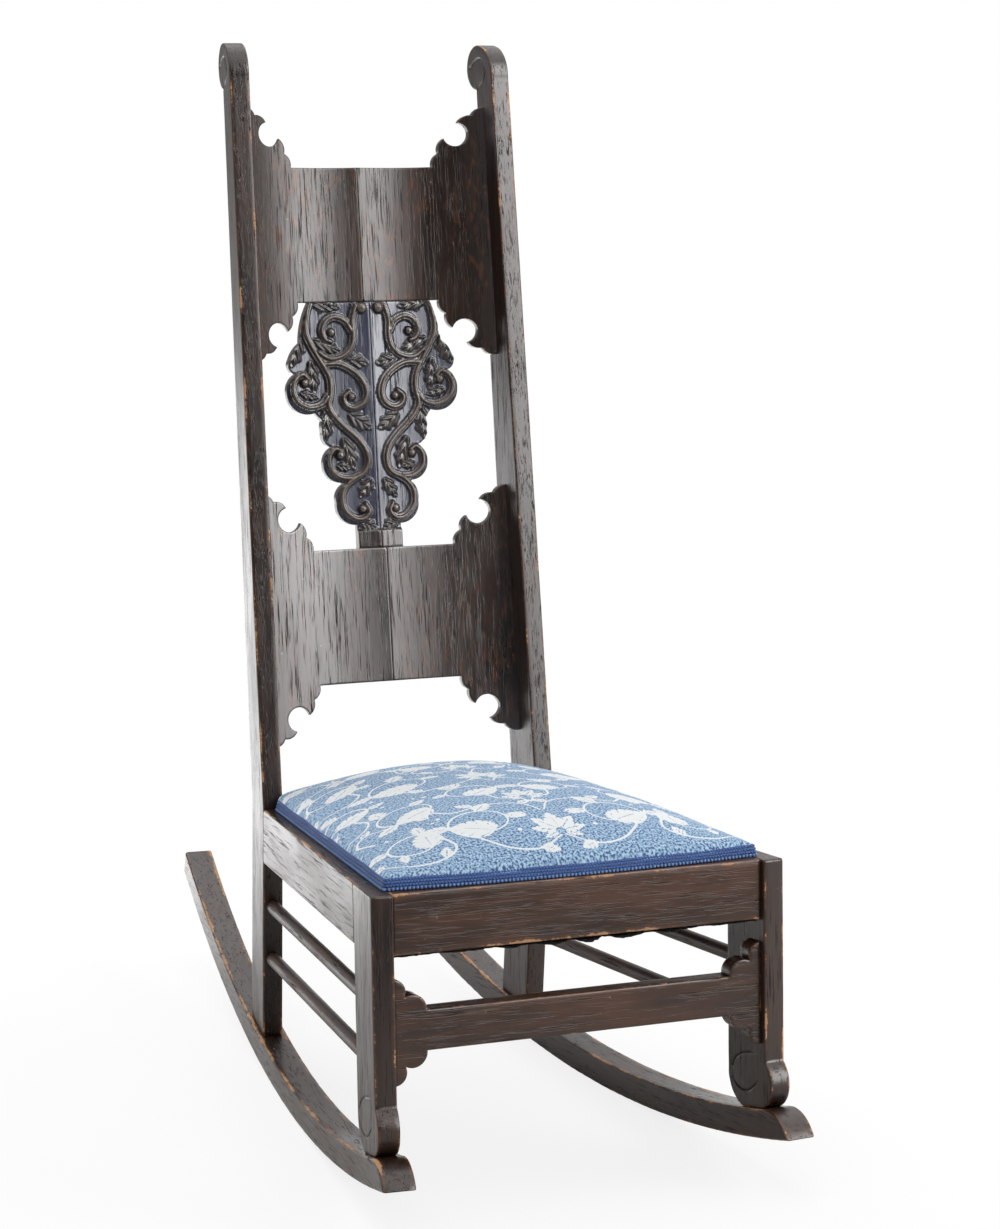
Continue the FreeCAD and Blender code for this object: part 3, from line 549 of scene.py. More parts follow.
def silk_braid():
    """Royal blue braid: painted shade darkens it between its cords, and a painted highlight lightens their
    crowns and the crowns of its picot loops.
    """
    material, nodes, links, shader = new_material("braid_silk")
    w = Wiring(material.node_tree)
    crown = w.attribute("crown").outputs["Fac"]
    picot = w.attribute("picot").outputs["Fac"]
    # Painted shade between the cords and the braid's own blue on their crowns, by the crown mask
    colour = w.mix(w.ramp(crown, 0.15, 0.85), BRAID_PAINTED_SHADE, BRAID_BLUE)
    # Painted highlight on the crowns of the picot loops
    colour = w.mix(w.math("MULTIPLY", picot, w.ramp(crown, 0.3, 0.95)), colour, PICOT_PAINTED_HIGHLIGHT)
    fade = w.ramp(w.noise(nodes.new("ShaderNodeTexCoord").outputs["Object"], 14.0, 2.0), 0.4, 0.75)
    colour = w.mix(w.math("MULTIPLY", fade, 0.3), colour, BRAID_FADED)
    links.new(colour, shader.inputs["Base Color"])
    shader.inputs["Roughness"].default_value = 0.55
    shader.inputs["Sheen Weight"].default_value = 0.2
    return material


# Shapes

def smooth_step(value, low, high):
    """0 below low, 1 above high, and a smooth rise between them."""
    share = np.clip((value - low) / (high - low), 0.0, 1.0)
    return share * share * (3 - 2 * share)


def traced(corners, step=3.0, arc_step=1.2):
    """Corners (x, y, bend) as a dense closed loop that turns left.

    Each corner leads to the next by a straight line, or by an arc of radius |bend| that turns left
    where the bend is positive.
    """
    loop = []
    for index, (x, y, bend) in enumerate(corners):
        start = np.array([x, y], float)
        end = np.array(corners[(index + 1) % len(corners)][:2], float)
        chord = end - start
        length = np.hypot(*chord)
        if bend is None:
            share = np.arange(max(1, round(length / step))) / max(1, round(length / step))
            loop.append(start + share[:, None] * chord)
            continue
        radius = abs(bend)
        turn = 1 if bend > 0 else -1
        rise = math.sqrt(max(radius ** 2 - (length / 2) ** 2, 0.0))
        centre = (start + end) / 2 + np.array([-chord[1], chord[0]]) / length * turn * rise
        first = math.atan2(*(start - centre)[::-1])
        sweep = 2 * math.asin(min(1.0, length / 2 / radius)) * turn
        count = max(2, round(abs(sweep) * radius / arc_step))
        angle = first + sweep * np.arange(count) / count
        loop.append(centre + radius * np.stack([np.cos(angle), np.sin(angle)], 1))
    loop = np.concatenate(loop)
    area = np.sum(loop[:, 0] * np.roll(loop[:, 1], -1) - loop[:, 1] * np.roll(loop[:, 0], -1))
    return loop if area > 0 else loop[::-1]


def curve_through(points, count=24):
    """A smooth line through points: each span is a cubic whose end slopes join its neighbours."""
    points = np.asarray(points, float)
    padded = np.concatenate([2 * points[:1] - points[1:2], points, 2 * points[-1:] - points[-2:-1]])
    share = np.linspace(0.0, 1.0, count, endpoint=False)[:, None]
    spans = []
    for before, start, end, after in zip(padded, padded[1:], padded[2:], padded[3:]):
        spans.append(0.5 * (2 * start + (end - before) * share
                            + (2 * before - 5 * start + 4 * end - after) * share ** 2
                            + (3 * start - before - 3 * end + after) * share ** 3))
    return np.concatenate(spans + [points[-1:]])


def nearest(points, line, closed=False):
    """For each point, its distance to a line of straight pieces, and the share along the line."""
    ends = np.roll(line, -1, 0) if closed else line[1:]
    starts = line if closed else line[:-1]
    runs = ends - starts
    lengths = np.maximum((runs ** 2).sum(1), 1e-9)
    best = np.empty(len(points))
    where = np.empty(len(points))
    for low in range(0, len(points), 2000):
        part = points[low:low + 2000, None, :] - starts[None]
        share = np.clip((part * runs).sum(2) / lengths, 0.0, 1.0)
        gap = np.hypot(*(part - share[..., None] * runs).transpose(2, 0, 1))
        index = gap.argmin(1)
        rows = np.arange(len(index))
        best[low:low + 2000] = gap[rows, index]
        where[low:low + 2000] = (index + share[rows, index]) / len(starts)
    return best, where


def inside(points, loop):
    """Which points lie inside a closed loop, by counting the edges that a ray crosses."""
    answer = np.zeros(len(points), bool)
    ends = np.roll(loop, -1, 0)
    for low in range(0, len(points), 4000):
        x, y = points[low:low + 4000, 0, None], points[low:low + 4000, 1, None]
        spans = (loop[:, 1] > y) != (ends[:, 1] > y)
        rise = np.where(ends[:, 1] == loop[:, 1], 1.0, ends[:, 1] - loop[:, 1])
        cross = loop[:, 0] + (y - loop[:, 1]) * (ends[:, 0] - loop[:, 0]) / rise
        answer[low:low + 4000] = (spans & (x < cross)).sum(1) % 2 == 1
    return answer


def inwards(loop):
    """The direction into a loop that turns left, at each of its points."""
    along = np.roll(loop, -1, 0) - np.roll(loop, 1, 0)
    along /= np.maximum(np.hypot(*along.T), 1e-9)[:, None]
    return np.stack([-along[:, 1], along[:, 0]], 1)


def uneven(count, seed, waves=9):
    """A smooth closed ripple about 0, between -1 and 1, as a sum of seeded waves."""
    random = np.random.default_rng(seed)
    angle = np.arange(count) / count * 2 * math.pi
    ripple = np.zeros(count)
    for _ in range(waves):
        pitch = random.integers(3, max(8, count // 12))
        ripple += np.sin(pitch * angle + random.uniform(0, 2 * math.pi)) * random.uniform(0.4, 1.0)
    return ripple / waves


def new_mesh(name, points, faces, attributes=None):
    """A smooth mesh from points of the level chair and lists of corners, with its attributes."""
    mesh = bpy.data.meshes.new(name)
    mesh.from_pydata(world(points), [], faces)
    mesh.polygons.foreach_set("use_smooth", np.ones(len(mesh.polygons), bool))
    for title, values in (attributes or {}).items():
        values = np.asarray(values, np.float32)
        kind = "FLOAT" if values.ndim == 1 else "FLOAT_VECTOR"
        layer = mesh.attributes.new(title, kind, "POINT")
        layer.data.foreach_set("value" if values.ndim == 1 else "vector", values.ravel())
    mesh.update()
    piece = bpy.data.objects.new(name, mesh)
    bpy.context.scene.collection.objects.link(piece)
    return piece


def dressed(piece, material, slot, *nodes):
    """The piece with its finish, riding on the chair in place of its solids."""
    piece.data.materials.append(material)
    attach(piece, "root")
    if nodes:
        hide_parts(*nodes)
    return piece


# Rings of points inside a board's outline, as shares of its arris radius
RINGS = (0.12, 0.45, 1.0, 2.6)
# How far wear shows in from an arris, and how sharply it ends there
WEAR_REACH = 2.2
WEAR_FALL = 1.3


def face_points(loop, wander, radius, spacing, extra):
    """Points of a board's face: outline, rings close inside it, an even triangular net and extras."""
    inner = inwards(loop)
    rings = []
    for share in RINGS:
        ring = loop + inner * (wander * share)[:, None]
        gap, _ = nearest(ring, loop, closed=True)
        rings.append(ring[(gap > wander * share * 0.9) & inside(ring, loop)])
    low, high = loop.min(0), loop.max(0)
    columns = np.arange(low[0], high[0], spacing)
    rows = np.arange(low[1], high[1], spacing * 0.87)
    x, y = np.meshgrid(columns, rows)
    x = x + (np.arange(len(rows)) % 2)[:, None] * spacing / 2
    middle = np.stack([x.ravel(), y.ravel()], 1)
    if extra is not None:
        gap, _ = nearest(middle, extra)
        middle = np.concatenate([middle[gap > spacing * 0.6], extra])
    middle = middle[inside(middle, loop)]
    gap, _ = nearest(middle, loop, closed=True)
    middle = middle[gap > radius * RINGS[-1] + spacing * 0.35]
    return np.concatenate([loop] + rings + [middle])


def net_over(points, count):
    """Triangles over points whose first count make the outline, which stays first and in order."""
    found = delaunay_2d_cdt([Vector(p) for p in points.tolist()], [], [list(range(count))], 1, 1e-6)
    net = np.array([tuple(v) for v in found[0]])
    triangles = np.array(found[2])
    order = np.full(count, -1)
    for index, origins in enumerate(found[3]):
        for origin in origins:
            if origin < count:
                order[origin] = index
    shuffle = np.concatenate([order, np.setdiff1d(np.arange(len(net)), order)])
    renumber = np.empty(len(net), int)
    renumber[shuffle] = np.arange(len(net))
    return net[shuffle], renumber[triangles]


def wall_quads(levels):
    """Quads between loops of point numbers, from one level to the next."""
    return np.concatenate([np.stack([lower, np.roll(lower, -1), np.roll(upper, -1), upper], 1)
                           for upper, lower in zip(levels, levels[1:])])


def grid_net(rows, columns):
    """Quads of a grid of points by their numbers, and the numbers round its rim."""
    index = np.arange(rows * columns).reshape(rows, columns)
    quads = np.stack([index[:-1, :-1], index[:-1, 1:], index[1:, 1:], index[1:, :-1]], 2)
    rim = np.concatenate([index[0, :-1], index[:-1, -1], index[-1, :0:-1], index[:0:-1, 0]])
    return quads.reshape(-1, 4), rim


def board(name, loop, front, back, place, along=0, radius=1.4, spacing=14.0, seed=1, depth_steps=5,
          extra=None, masks=None):
    """A board with rounded arrises: an outline, a front and a back surface over it, and its sides.

    Both faces are one triangle net over the outline. Within a radius of the outline they drop along a
    quarter circle, whose radius wanders a little as if worn by hand. The attribute "edge" is 1 on the
    arris and fades into the faces; "grain" gives each point's place along, across and through the
    grain. A mask lies on the front face, and the mask "cut" on both.
    """
    count = len(loop)
    wander = radius * (1 + 0.4 * uneven(count, seed))
    net, triangles = net_over(face_points(loop, wander, radius, spacing, extra), count)
    gap, where = nearest(net, loop, closed=True)
    gap[:count] = 0.0
    reach = wander[np.minimum((where * count).astype(int), count - 1)]
    reach[:count] = wander
    drop = reach - np.sqrt(np.maximum(reach ** 2 - np.maximum(reach - gap, 0.0) ** 2, 0.0))
    front_depth, back_depth = front(net), back(net)
    front_rim = front_depth[:count] + drop[:count]
    back_rim = back_depth[:count] - drop[:count]
    shares = np.arange(1, depth_steps) / depth_steps
    walls = front_rim + shares[:, None] * (back_rim - front_rim)
    points = np.concatenate(
        [np.column_stack([net, front_depth + drop]), np.column_stack([net, back_depth - drop])]
        + [np.column_stack([loop, wall]) for wall in walls])
    size = len(net)
    rim = np.arange(count)
    levels = [rim] + [2 * size + step * count + rim for step in range(len(walls))] + [size + rim]
    faces = triangles[:, ::-1].tolist() + (triangles + size).tolist() + wall_quads(levels)[:, ::-1].tolist()
    on_face = np.exp(-(gap / WEAR_REACH) ** WEAR_FALL)
    on_wall = np.exp(-(np.minimum(walls - front_rim, back_rim - walls) / WEAR_REACH) ** WEAR_FALL)
    attributes = {"edge": np.concatenate([on_face, on_face, on_wall.ravel()]),
                  "grain": points[:, [along, 1 - along, 2]] / 1000 + seed * 0.37 % 3}
    for title, mask in (masks or {}).items():
        shown = np.zeros(len(points))
        shown[:size] = mask(net)
        if title == "cut":
            shown[size:2 * size] = shown[:size]
        attributes[title] = shown
    return upright(new_mesh(name, place(points), faces, attributes))


def upright(piece):
    """The piece with its faces turned outwards, by the sign of its volume."""
    mesh = piece.data
    mesh.calc_loop_triangles()
    points = np.empty(len(mesh.vertices) * 3)
    mesh.vertices.foreach_get("co", points)
    corners = np.empty(len(mesh.loop_triangles) * 3, np.int32)
    mesh.loop_triangles.foreach_get("vertices", corners)
    a, b, c = points.reshape(-1, 3)[corners.reshape(-1, 3)].transpose(1, 0, 2)
    if np.einsum("ij,ij->i", a, np.cross(b, c)).sum() < 0:
        mesh.flip_normals()
    return piece


def flat_at(depth, cut=None, into=1):
    """A plane face at one depth, with a fine V-tool line cut into it along a curve."""
    def face(net):
        """The depth, plus a bell-shaped groove about the cut."""
        level = np.full(len(net), float(depth))
        if cut is not None:
            gap, _ = nearest(net, cut)
            level += into * CUT_DEPTH * np.exp(-(gap / CUT_HALF) ** 2)
        return level
    return face


def along_cut(cut):
    """The dark bottom of a cut line, as the attribute "cut"."""
    return {"cut": lambda net: np.exp(-(nearest(net, cut)[0] / CUT_HALF) ** 2)}


def beside(cut):
    """Net points on a cut and on both sides of it, so that the net can follow it."""
    along = np.gradient(cut, axis=0)
    along /= np.hypot(*along.T)[:, None]
    across = np.stack([-along[:, 1], along[:, 0]], 1)
    return np.concatenate([cut + across * step for step in (-2.4, -1.5, -0.7, 0.0, 0.7, 1.5, 2.4)])


CUT_DEPTH = 1.7
CUT_HALF = 0.9


# Side frames

ROCKER_RADIUS = 1594.0
ROCKER_CENTRE = 284.0
ROCKER_DROP = 307.0
ROCKER_THICKNESS = 29.0
ROCKER_WIDTH = 33.0
ROCKER_TOP = ROCKER_RADIUS - ROCKER_THICKNESS
NOSE_REACH = 48.0
REAR_REACH = 960.0
LEG_DEPTH = 72.0
FOOT_TOP = 205.0
POST_DEPTH = 60.0
POST_TOP_DEPTH = 39.0
POST_LEAN = math.tan(math.radians(6.03))
POST_KICK = 32.0
SCROLL_HEIGHT = 807.0
SCROLL_RADIUS = 25.0


def rocker_arc(along, radius):
    """Height of a rocker's arc at a distance along the side."""
    return ROCKER_RADIUS - ROCKER_DROP - math.sqrt(radius ** 2 - (along - ROCKER_CENTRE) ** 2)


POST_FOOT = SEAT_DEPTH + POST_KICK
POST_FOOT_HEIGHT = rocker_arc(POST_FOOT, ROCKER_TOP)


def post_front(height):
    """Where a post's front edge stands above the seat frame."""
    return SEAT_DEPTH + POST_LEAN * height


def post_size(height):
    """A post's depth, which tapers evenly to its scroll."""
    return POST_DEPTH - (POST_DEPTH - POST_TOP_DEPTH) * height / SCROLL_HEIGHT


def post_front_below(drop):
    """Where a post's front edge stands below the seat frame's top."""
    return SEAT_DEPTH - POST_KICK * drop / POST_FOOT_HEIGHT


def rocker_outline():
    """Two arcs about one centre, the rear end cut square and a round nose."""
    start = 1.0
    rear_low = rocker_arc(REAR_REACH, ROCKER_RADIUS)
    centre_height = ROCKER_RADIUS - ROCKER_DROP
    share = ROCKER_TOP / ROCKER_RADIUS
    return [
        (start, rocker_arc(start, ROCKER_TOP), ROCKER_TOP),
        (ROCKER_CENTRE + (REAR_REACH - ROCKER_CENTRE) * share,
         centre_height + (rear_low - centre_height) * share, None),
        (REAR_REACH, rear_low, -ROCKER_RADIUS),
        (-NOSE_REACH, rocker_arc(-NOSE_REACH, ROCKER_RADIUS), -40.0),
    ]


def leg_outline():
    """A straight plank whose foot swells forwards and backwards over the rocker."""
    toe, heel = 6.0, 44.0
    return [
        (0.0, 0.0, None),
        (LEG_DEPTH, 0.0, None),
        (LEG_DEPTH, -224.0, -34.0),
        (heel, rocker_arc(heel, ROCKER_TOP), -ROCKER_TOP),
        (toe, rocker_arc(toe, ROCKER_TOP), -28.0),
        (0.0, -FOOT_TOP, None),
    ]


def post_outline():
    """A raked, tapering plank that kicks back below and ends in a scroll above."""
    brow = SCROLL_HEIGHT - 12.5
    crown_along = post_front(SCROLL_HEIGHT) + 35.5
    crown = 8.3
    notch = SCROLL_HEIGHT - SCROLL_RADIUS
    heel = POST_FOOT + POST_DEPTH
    return [
        (SEAT_DEPTH, 0.0, None),
        (post_front(brow), brow, -36.0),
        (crown_along - crown, SCROLL_HEIGHT + math.sqrt(SCROLL_RADIUS ** 2 - crown ** 2), -SCROLL_RADIUS),
        (crown_along + SCROLL_RADIUS, SCROLL_HEIGHT, -SCROLL_RADIUS),
        (post_front(notch) + post_size(notch), notch, None),
        (SEAT_DEPTH + POST_DEPTH, 0.0, None),
        (heel, rocker_arc(heel, ROCKER_TOP), -ROCKER_TOP),
        (POST_FOOT, POST_FOOT_HEIGHT, None),
    ]


def rail_outline():
    """A plank that fills the frame from the leg to the post."""
    return [
        (LEG_DEPTH, 0.0, None),
        (SEAT_DEPTH, 0.0, None),
        (post_front_below(RAIL_HEIGHT), -RAIL_HEIGHT, None),
        (LEG_DEPTH, -RAIL_HEIGHT, None),
    ]


# Cut curls, as points along the side and up
SCROLL_CUT = [(626, 805.4), (618, 813), (605, 816.5), (595, 811), (590, 803), (590.5, 798), (596, 790),
              (611, 783.4)]
FOOT_CUT = [(29, -200), (44, -204), (58.5, -213), (64, -227), (58, -238), (45, -242), (32.5, -240),
            (19.6, -231)]


def side_frames(finish):
    """Rockers, legs, posts and side rails, each a plank of its side frame.

    A curl is cut into both faces of each post's scroll and each leg's foot.
    """
    curl = curve_through(SCROLL_CUT, 12)
    heel = curve_through(FOOT_CUT, 12)
    for index, (title, side) in enumerate(SIDES.items()):
        place = side_place(side)
        wide = side_place(side, (BOARD - ROCKER_WIDTH) / 2)
        seed = 10 * (index + 1)
        rocker = board("rocker_%s_finished" % title, traced(rocker_outline()), flat_at(0),
                       flat_at(ROCKER_WIDTH), wide, 0, 2.2, 24.0, seed)
        dressed(rocker, finish["rocker"], "ebonised_oak", "rocker_" + title)
        leg = board("front_leg_%s_finished" % title, traced(leg_outline()), flat_at(0, heel),
                    flat_at(BOARD, heel, -1), place, 1, 1.5, 14.0, seed + 1, extra=beside(heel),
                    masks=along_cut(heel))
        dressed(leg, finish["leg"], "ebonised_oak", "front_leg_" + title)
        post = board("rear_post_%s_finished" % title, traced(post_outline()), flat_at(0, curl),
                     flat_at(BOARD, curl, -1), place, 1, 1.5, 20.0, seed + 2, extra=beside(curl),
                     masks=along_cut(curl))
        dressed(post, finish["post"], "ebonised_oak", "rear_post_" + title)
        rail = board("side_rail_%s_finished" % title, traced(rail_outline()), flat_at(0),
                     flat_at(BOARD), place, 0, 1.3, 20.0, seed + 3)
        dressed(rail, finish["leg"], "ebonised_oak", "side_rail_" + title)


# Rails and stretcher between the side frames

def inner_face(y):
    """Half the clear width between the side frames."""
    return FRONT_WIDTH / 2 - BOARD / math.cos(TOE_IN) - y * math.tan(TOE_IN)


def plan_place(points):
    """Puts (x, y, depth down from the seat frame's top) into the chair."""
    x, y, depth = np.asarray(points, float).T
    return np.stack([x, y, -depth], 1)


def front_place(front):
    """Puts (x, height, depth back from a front face) into the chair."""
    def place(points):
        x, height, depth = np.asarray(points, float).T
        return np.stack([x, front + depth, height], 1)
    return place


STRETCHER_MIDDLE = -135.0
STRETCHER_BAR = 20.0
STRETCHER_END = 52.0
STRETCHER_FRONT = 5.0


def stretcher_outline():
    """A bar with two lobes above and below at each end: one quarter, mirrored both ways."""
    end = inner_face(STRETCHER_FRONT)
    near = end - 12.0
    far = near - 22.0
    quarter = [
        (far, STRETCHER_BAR, None),
        (far, STRETCHER_BAR + 2.0, -15.0),
        (near, 34.0, -13.0),
        (end, STRETCHER_END, None),
    ]

    back = run_back(quarter)
    corners = quarter + [(x, -z, bend) for x, z, bend in back]
    corners += [(-x, -z, bend) for x, z, bend in quarter] + [(-x, z, bend) for x, z, bend in back]
    return [(x, STRETCHER_MIDDLE + z, bend) for x, z, bend in corners]


def cross_rails(finish):
    """Front and rear rail, with ends cut to the toe-in, and the lobed stretcher."""
    rear = SEAT_DEPTH * math.cos(TOE_IN) + RAIL_RECESS
    for seed, (title, front) in enumerate((("front_rail", RAIL_RECESS), ("rear_rail", rear)), start=41):
        back = front + BOARD
        corners = [(-inner_face(front), front, None), (inner_face(front), front, None),
                   (inner_face(back), back, None), (-inner_face(back), back, None)]
        rail = board(title + "_finished", traced(corners), flat_at(0), flat_at(RAIL_HEIGHT), plan_place,
                     0, 1.4, 20.0, seed, depth_steps=9)
        dressed(rail, finish["rail"], "ebonised_oak", title)
    bar = board("front_stretcher_finished", traced(stretcher_outline()), flat_at(0), flat_at(BOARD),
                front_place(STRETCHER_FRONT), 0, 1.6, 14.0, 43)
    dressed(bar, finish["rail"], "ebonised_oak", "front_stretcher")


SPINDLE_RADIUS = 7.5
SPINDLE_TENON = 14.0
SPINDLE_DROPS = {"upper": 111.0, "lower": 171.0}
SPINDLE_RINGS = 60
SPINDLE_SIDES = 28


def spindles(finish):
    """Round spindles: tubes whose radius ripples a little, as from the lathe and from wear."""
    around = np.linspace(0, 2 * math.pi, SPINDLE_SIDES, endpoint=False)
    ring = np.stack([np.cos(around), np.sin(around)], 1)
    for side_title, side in SIDES.items():
        for index, (title, drop) in enumerate(SPINDLE_DROPS.items()):
            end = post_front_below(drop) + SPINDLE_TENON
            along = np.linspace(LEG_DEPTH - SPINDLE_TENON, end, SPINDLE_RINGS)
            seed = 50 + index + (10 if side > 0 else 0)
            radius = SPINDLE_RADIUS * (1 + 0.02 * uneven(len(along), seed))
            u = np.repeat(along, len(around))
            offset = (radius[:, None, None] * ring[None]).reshape(-1, 2)
            points = np.column_stack([u, -drop + offset[:, 0], BOARD / 2 + offset[:, 1]])
            attributes = {"edge": np.full(len(points), 0.25),
                          "grain": np.column_stack([u, offset]) / 1000 + seed * 0.37}
            name = "spindle_%s_%s" % (title, side_title)
            piece = new_mesh(name + "_finished", side_place(side)(points),
                             tube_faces(SPINDLE_RINGS, SPINDLE_SIDES), attributes)
            dressed(upright(piece), finish["spindle"], "ebonised_oak", name)


def tube_faces(rows, columns):
    """Faces of a closed tube of rings, with its two end caps."""
    index = np.arange(rows * columns).reshape(rows, columns)
    after = np.roll(index, -1, 1)
    quads = np.stack([index[:-1], after[:-1], after[1:], index[1:]], 2).reshape(-1, 4)
    return quads.tolist() + [index[0][::-1].tolist(), index[-1].tolist()]


# The back: panels and splat

PANEL_SHARE = 0.51
BACK_SLOPE = POST_LEAN - PANEL_SHARE * (POST_DEPTH - POST_TOP_DEPTH) / SCROLL_HEIGHT
BACK_START = (SEAT_DEPTH + POST_DEPTH * PANEL_SHARE) * math.cos(TOE_IN) - BOARD * math.sin(TOE_IN)
PANEL_THICKNESS = 9.0
PANEL_BODY = 84.0
PANEL_HEIGHT = 150.0
PANEL_GROOVE = 6.0
EAR_HEIGHT = 64.5
CREST = {"middle": 627.0, "bow": 30.0, "hollow": 199.0, "joint": -6.0}
LOWER = {"middle": 201.0, "bow": 18.0, "hollow": 400.0, "joint": 3.0}

# Share of the ear's width, share of its height, and the arc's radius as a share of its chord
EAR = [(1.0, 1.0, 0.85), (0.77, 0.87, 0.81), (0.515, 0.755, -0.58), (0.637, 0.42, -0.57),
       (0.24, 0.49, 0.82), (0.13, 0.235, 0.78), (0.0, 0.0, None)]


def back_place(points):
    """Puts (x, height, depth) of the leaning plane of the back into the chair."""
    x, height, depth = np.asarray(points, float).T
    lean = math.atan(BACK_SLOPE)
    y = BACK_START + depth * math.cos(lean) + height * math.sin(lean)
    z = height * math.cos(lean) - depth * math.sin(lean)
    return np.stack([x, y, z], 1)


def spread(shape, across, up, width, height):
    """Corners of an outline drawn in shares of a width and a height."""
    corners = []
    for (x, y, swing), (next_x, next_y, _) in zip(shape, shape[1:] + shape[-1:]):
        bend = None
        if swing is not None:
            bend = math.hypot(width * (next_x - x), height * (next_y - y)) * swing
        corners.append((across + width * x, up + height * y, bend))
    return corners


def run_back(corners):
    """The corners in the other order, with each bend kept on its arc."""
    bends = [bend for _, _, bend in reversed(corners)]
    bends = bends[1:] + [None]
    return [(x, y, bend) for (x, y, _), bend in zip(reversed(corners), bends)]


def turned(corners, side):
    """Corners mirrored to the other side, with their arcs."""
    return [(side * x, y, None if bend is None else side * bend) for x, y, bend in corners]


def hollow_depth(x, start, bow, end, radius):
    """Depth of a hollow face: an arc from (start, bow) to (end, 0) that sags backwards."""
    run, fall = end - start, -bow
    chord = math.hypot(run, fall)
    rise = math.sqrt(radius ** 2 - (chord / 2) ** 2)
    # The centre lies in front of the chord
    centre_x = (start + end) / 2 + fall / chord * rise
    centre_y = bow / 2 - run / chord * rise
    return centre_y + np.sqrt(np.maximum(radius ** 2 - (x - centre_x) ** 2, 0.0))


def panel(name, side, middle, bow, hollow, joint, finish, seed):
    """Half of a back panel: a hollow board with a cusped ear at the top and the bottom."""
    post_edge = inner_face(BACK_START + BACK_SLOPE * middle)
    outer = post_edge + PANEL_GROOVE
    inner = side * joint
    reach = PANEL_HEIGHT / 2 + EAR_HEIGHT
    top = spread(EAR, PANEL_BODY, middle + PANEL_HEIGHT / 2, post_edge - PANEL_BODY, EAR_HEIGHT)
    under = spread(EAR, PANEL_BODY, middle - PANEL_HEIGHT / 2, post_edge - PANEL_BODY, -EAR_HEIGHT)
    corners = [(inner, middle - PANEL_HEIGHT / 2, None)] + run_back(under)
    corners += [(outer, middle - reach, None), (outer, middle + reach, None)] + top
    corners += [(inner, middle + PANEL_HEIGHT / 2, None)]
    loop = traced(turned(corners, side), 2.5)

    def front(net):
        """The hollow face, from the joint to the groove in the post."""
        return hollow_depth(side * net[:, 0], inner, bow, outer, hollow)

    def back(net):
        """The same arc behind, so that the panel is equally thick all over."""
        return front(net) + PANEL_THICKNESS

    piece = board(name + "_finished", loop, front, back, back_place, 1, 0.9, 5.0, seed, depth_steps=3)
    dressed(piece, finish, "panel_oak", name)


SPLAT_FRONT = 22.0
SPLAT_THICKNESS = 16.0
SPLAT_HOLLOW = 400.0
SPLAT_REACH = 106.0
STEM = 26.0
SPLAT_EDGE = [(0.245, 0.096, 0.664), (0.46, 0.185, 0.845), (0.375, 0.265, None), (0.40, 0.270, 0.706),
              (0.585, 0.345, 0.914), (0.485, 0.415, 0.755), (0.585, 0.475, 2.0), (0.580, 0.523, None),
              (0.65, 0.555, 0.61), (0.955, 0.640, 0.947), (0.85, 0.715, 0.598), (0.91, 0.775, 1.663),
              (0.785, 0.840, 2.2), (0.67, 1.0, None)]

# The carving of one half: each scroll is a raised roll along a line, in (distance out, height)
SCROLLS = [
    [(69, 556), (75, 537), (76, 518), (69, 501), (59.5, 485), (52.5, 472), (50, 460), (51, 448),
     (53.5, 438), (49, 427), (38.5, 415), (23.5, 401), (14, 388), (11, 374), (16, 361.5), (29, 355.5),
     (44, 357), (54.5, 367), (55, 380), (48, 388.5), (41, 385)],
    [(54, 447), (61, 438.5), (75, 435.5), (89, 442), (94.5, 455), (91, 467), (82, 472.5), (76, 467)],
    [(24, 357), (36, 349), (42.5, 337), (41, 322), (31, 311), (19.5, 309.5), (12.5, 317), (16, 326)],
    [(17, 548), (21.5, 532), (21, 515), (24, 502), (34, 492), (50, 489.5), (62, 497)],
    [(23, 520), (30, 531), (42, 535.5), (52, 531), (57, 521), (54, 511.5), (47, 508)],
    [(57, 483), (41, 483.5), (27, 477.5), (14.5, 466), (9, 451), (13, 439), (23.5, 433.5), (33, 437),
     (35.5, 446), (29, 452)],
]
EYES = [(80, 463, 5.6), (42.5, 381, 5.6), (19.5, 320, 5.4), (46, 518.5, 5.4), (26, 446, 5.2),
        (10, 545, 6.8)]
# Leaves: root, tip, half width
LEAVES = [
    ((84, 514), (96, 480), 11.0), ((72, 488), (68, 450), 8.0), ((68, 511), (34, 495), 8.5),
    ((68, 551), (34, 546), 8.0), ((36, 488), (4, 483), 10.0), ((30, 427), (4, 409), 10.0),
    ((56, 434), (60, 395), 10.0), ((38, 401), (26, 364), 9.5), ((7, 354), (22, 332), 8.0),
    ((22, 306), (4, 297), 8.5), ((86, 452), (64, 446), 6.0), ((47, 370), (30, 366), 5.5),
]
ROLL_HALF = 5.4
ROLL_HEIGHT = 4.3
FILLET_HALF = 1.5
FILLET_HEIGHT = 1.9
LEAF_HEIGHT = 3.8
GROUND = 6.5
STEM_TOP = 298.0
STEM_HEIGHT = 4.0


